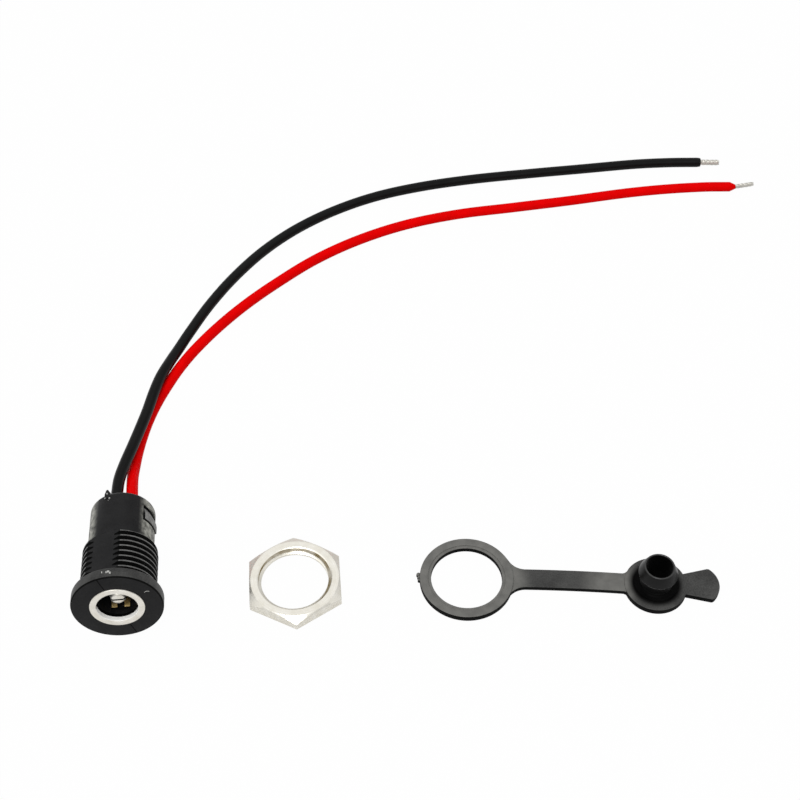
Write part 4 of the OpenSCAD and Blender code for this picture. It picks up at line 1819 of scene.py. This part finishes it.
    def _disc(self) -> Shape:
        """The disc with its collar and the hollow barbed plug.

        Returns:
            The disc and the plug, centred on the axis.
        """
        r, top = self.round_r, self.disc_t
        tip, foot, barb = top + self.plug_h, top + self.collar_t, top + self.barb_h
        lip, collar, neck = (self.tip_r - self.hollow_r) / 2, self.collar_fillet, self.neck_fillet
        outline = [
            (0.0, 0.0),
            *arc((self.disc_r - r, r), r, -90, 0, 4),
            *arc((self.disc_r - r, top - r), r, 0, 90, 4),
            *arc((self.collar_r + collar, top + collar), collar, -90, -180, 4),
            (self.collar_r, foot - self.collar_lap),
            *arc((self.neck_r + neck, foot + neck), neck, -90, -180, 5),
            (self.neck_r, barb - 2.0 * (self.barb_r - self.neck_r)),
            (self.barb_r - self.barb_under, barb - self.barb_round),
            *arc((self.barb_r - self.barb_round, barb), self.barb_round, -40, 30, 4),
            *arc((self.tip_r - lip, tip - lip), lip, 20, 180, 6),
            (self.hollow_r, tip - self.hollow_l),
            (0.0, tip - self.hollow_l),
        ]
        return Shape().lathe(outline, steps=128, closed=False)

    def _tab(self) -> Shape:
        """The pull tab: two straight sides that spread out to a round nose.

        Returns:
            The tab, round the disc's centre.
        """
        flare = (self.tab_end - self.tab_root) / (self.tab_reach - self.disc_r)
        start = self.disc_r - self.tab_in
        centre = self.tab_reach - self.tab_nose

        def side(x: float) -> float:
            """Half the tab's width between its straight sides."""
            return self.tab_root + flare * (x - self.disc_r)

        low, high = centre, self.tab_reach
        for _ in range(40):
            middle = (low + high) / 2
            inside = side(middle) < math.sqrt(max(0.0, self.tab_nose**2 - (middle - centre) ** 2))
            low, high = (middle, high) if inside else (low, middle)
        corner = math.degrees(math.atan2(side(low), low - centre))
        nose = arc((centre, 0.0), self.tab_nose, -corner, corner, 24)
        plate = Shape().prism([(start, -side(start)), *nose, (start, side(start))], 0.0, self.tab_t)
        return plate.soften(self.tab_corner, 25.0, 6, upright=True).soften(self.round_r, 40.0, 3)

    def _gate(self) -> Shape:
        """The torn gate on the far side of the ring.

        Returns:
            The gate's lumps.
        """
        shape = Shape()
        for y, out, size in self.lumps:
            profile = [(r * size, z) for r, z in self.lump_outline]
            shape.absorb(Shape().lathe(profile, 10, closed=False).shifted(-self.ring_r - out, y, 0.0))
        return shape


@dataclass
class InnerPieces:
    """Gives the solids that stay inside the socket their finishes."""

    coats: dict[str, Coat]

    def dress(self, nodes: dict[str, bpy.types.Object], palette: Palette) -> None:
        """Assigns the finishes.

        Args:
            nodes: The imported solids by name.
            palette: The shared materials.
        """
        for name, coat in self.coats.items():
            mesh = nodes[name].data
            mesh.materials.clear()
            mesh.materials.append(palette[coat])


@dataclass
class Studio:
    """The pale floor, the soft lights and the camera.

    A shade of the tent is a height and a level; a lamp is a name, a place and a size in metres, and a power.
    """

    target: Point3 = (-0.2, 37.0, 0.0)
    distance: float = 242.5
    elevation: float = 48.9
    focal_px: float = 1405.0
    frame_px: float = 800.0
    sensor: float = 36.0
    clip_m: Point2 = (0.005, 20.0)
    floor_r_m: float = 3.0
    floor_drop_m: float = 0.00002
    floor_tone: float = 0.65
    floor_glow: float = 0.98
    floor_mirrored: float = 0.3
    shades: tuple[Point2, ...] = ((0.0, 0.62), (0.2, 0.58), (0.6, 0.66), (0.75, 1.15), (1.0, 0.8))
    lamps: tuple[tuple[str, Point3, Point2, float], ...] = (
        ("key softbox", (-0.2, -0.6, 0.95), (0.5, 0.4), 4.4),
        ("left softbox", (-0.8, 0.1, 0.9), (0.5, 0.5), 0.4),
    )

    def build(self) -> None:
        """Sets the stage."""
        self._camera()
        self._floor()
        self._world()
        self._lights()
        bpy.context.scene.view_settings.view_transform = "Standard"

    def _camera(self) -> None:
        """Sets up the photograph's view."""
        data = bpy.data.cameras.new("camera")
        data.sensor_width = self.sensor
        data.lens = self.focal_px / self.frame_px * self.sensor
        data.clip_start, data.clip_end = self.clip_m
        tilt = math.radians(self.elevation)
        back = Vector((0.0, -math.cos(tilt), math.sin(tilt)))
        camera = linked("camera", data)
        camera.location = (Vector(self.target) + back * self.distance) * MM
        camera.rotation_euler = (math.radians(90.0 - self.elevation), 0.0, 0.0)
        bpy.context.scene.camera = camera

    def _floor(self) -> None:
        """Lays the white floor, which glows to the camera and less so in what mirrors it."""
        bm = bmesh.new()
        bmesh.ops.create_circle(bm, cap_ends=True, segments=64, radius=self.floor_r_m)
        mesh = bpy.data.meshes.new("floor")
        bm.to_mesh(mesh)
        bm.free()
        floor = linked("floor", mesh)
        floor.location.z = -self.floor_drop_m
        material = bpy.data.materials.new("white floor")
        graph = Graph.fresh(material)
        paper = graph.add("ShaderNodeBsdfDiffuse", {"Color": (*grey(self.floor_tone), 1.0)})
        glow = graph.add("ShaderNodeEmission", {"Color": (*grey(1.0), 1.0), "Strength": 1.0})
        path = graph.add("ShaderNodeLightPath").outputs
        mirrored = graph.math("MAXIMUM", path["Is Glossy Ray"], path["Is Transmission Ray"])
        direct = graph.math("MULTIPLY", path["Is Camera Ray"], self.floor_glow)
        share = graph.math("MAXIMUM", direct, graph.math("MULTIPLY", mirrored, self.floor_mirrored))
        mix = graph.add("ShaderNodeMixShader", {0: share, 1: paper.outputs[0], 2: glow.outputs[0]})
        graph.add("ShaderNodeOutputMaterial", {"Surface": mix.outputs[0]})
        mesh.materials.append(material)

    def _world(self) -> None:
        """Hangs a pale tent by height: brightest three quarters of the way up, where flat tops mirror it."""
        world = bpy.data.worlds.new("studio")
        graph = Graph.fresh(world)
        direction = graph.add("ShaderNodeTexCoord").outputs["Generated"]
        height = graph.add("ShaderNodeSeparateXYZ", {"Vector": direction}).outputs["Z"]
        colour = graph.ramp(height, *((stop, grey(shade)) for stop, shade in self.shades))
        tent = graph.add("ShaderNodeBackground", {"Color": colour, "Strength": 1.0})
        graph.add("ShaderNodeOutputWorld", {"Surface": tent.outputs[0]})
        bpy.context.scene.world = world

    def _lights(self) -> None:
        """Hangs two soft lamps: the key above the camera, and a weak one high on the left."""
        for name, place, size, power in self.lamps:
            data = bpy.data.lights.new(name, "AREA")
            data.shape = "RECTANGLE"
            data.size, data.size_y = size
            data.energy = power
            light = linked(name, data)
            light.location = place
            aim = Vector(self.target) * MM - Vector(place)
            light.rotation_euler = aim.to_track_quat("-Z", "Y").to_euler()


BLACK_ROUTE: tuple[Point3, ...] = (
    (-45.2, 13.2, 4.5), (-45.3, 16.4, 4.2), (-44.9, 20.0, 3.8), (-44.2, 24.0, 3.4), (-43.5, 28.0, 3.1),
    (-42.8, 32.0, 2.95), (-42.2, 36.0, 2.95), (-41.5, 40.0, 2.65), (-40.5, 44.0, 1.95), (-39.3, 48.0, 1.3),
    (-37.9, 52.0, 1.07), (-34.9, 59.2, 0.97), (-30.9, 66.6, 0.95), (-25.9, 73.7, 0.95), (-20.0, 79.8, 0.95),
    (-13.0, 85.0, 0.95), (-5.0, 89.2, 0.95), (4.0, 92.2, 0.95), (14.0, 94.4, 0.95), (25.0, 96.1, 0.95),
    (36.0, 97.6, 0.95), (47.0, 99.1, 0.95), (54.0, 99.6, 0.95), (60.2, 99.7, 0.95),
)
RED_ROUTE: tuple[Point3, ...] = (
    (-42.8, 12.8, 4.2), (-43.2, 15.4, 3.5), (-43.6, 18.2, 2.5), (-43.8, 21.0, 1.55), (-43.8, 24.0, 1.1),
    (-43.5, 27.5, 0.98), (-42.9, 31.3, 0.95), (-41.9, 35.3, 0.95), (-40.5, 39.4, 0.95), (-38.8, 43.6, 0.95),
    (-36.5, 48.0, 0.95), (-32.9, 53.5, 0.95), (-28.4, 59.2, 0.95), (-22.9, 65.0, 0.95), (-16.0, 71.3, 0.95),
    (-8.0, 76.7, 0.95), (1.0, 81.0, 0.95), (11.0, 84.0, 0.95), (22.0, 86.0, 0.95), (33.0, 88.0, 0.95),
    (44.0, 90.2, 0.95), (52.0, 91.4, 0.95), (60.0, 92.1, 0.95), (66.1, 92.2, 0.95),
)
INNER = {
    "lead_seal": Coat.SEAL,
    "pin_solder": Coat.SOLDER,
    "spring_solder": Coat.SOLDER,
    "red_conductor": Coat.TIN,
    "black_conductor": Coat.TIN,
}


def main() -> None:
    """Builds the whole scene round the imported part."""
    logging.basicConfig(level=logging.INFO, format="%(message)s")
    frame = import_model()
    socket, nut, cap = Socket(), PanelNut(), SealingCap()
    Studio().build()
    palette = mix_palette(socket, nut, cap)
    black = Wire(Lead.BLACK, BLACK_ROUTE, end_d=1.1, end_l=3.8, end_lean=-2.0)
    red = Wire(Lead.RED, RED_ROUTE, end_d=0.85, end_l=3.8, end_lean=12.0, tip=0.45, taper=1.1)
    for wire in (black, red):
        wire.build(socket, palette)
    socket.build(palette)
    nut.build(palette)
    cap.build(palette)
    InnerPieces(INNER).dress(frame["nodes"], palette)
    bpy.context.view_layer.update()


if __name__ == "__main__":
    main()
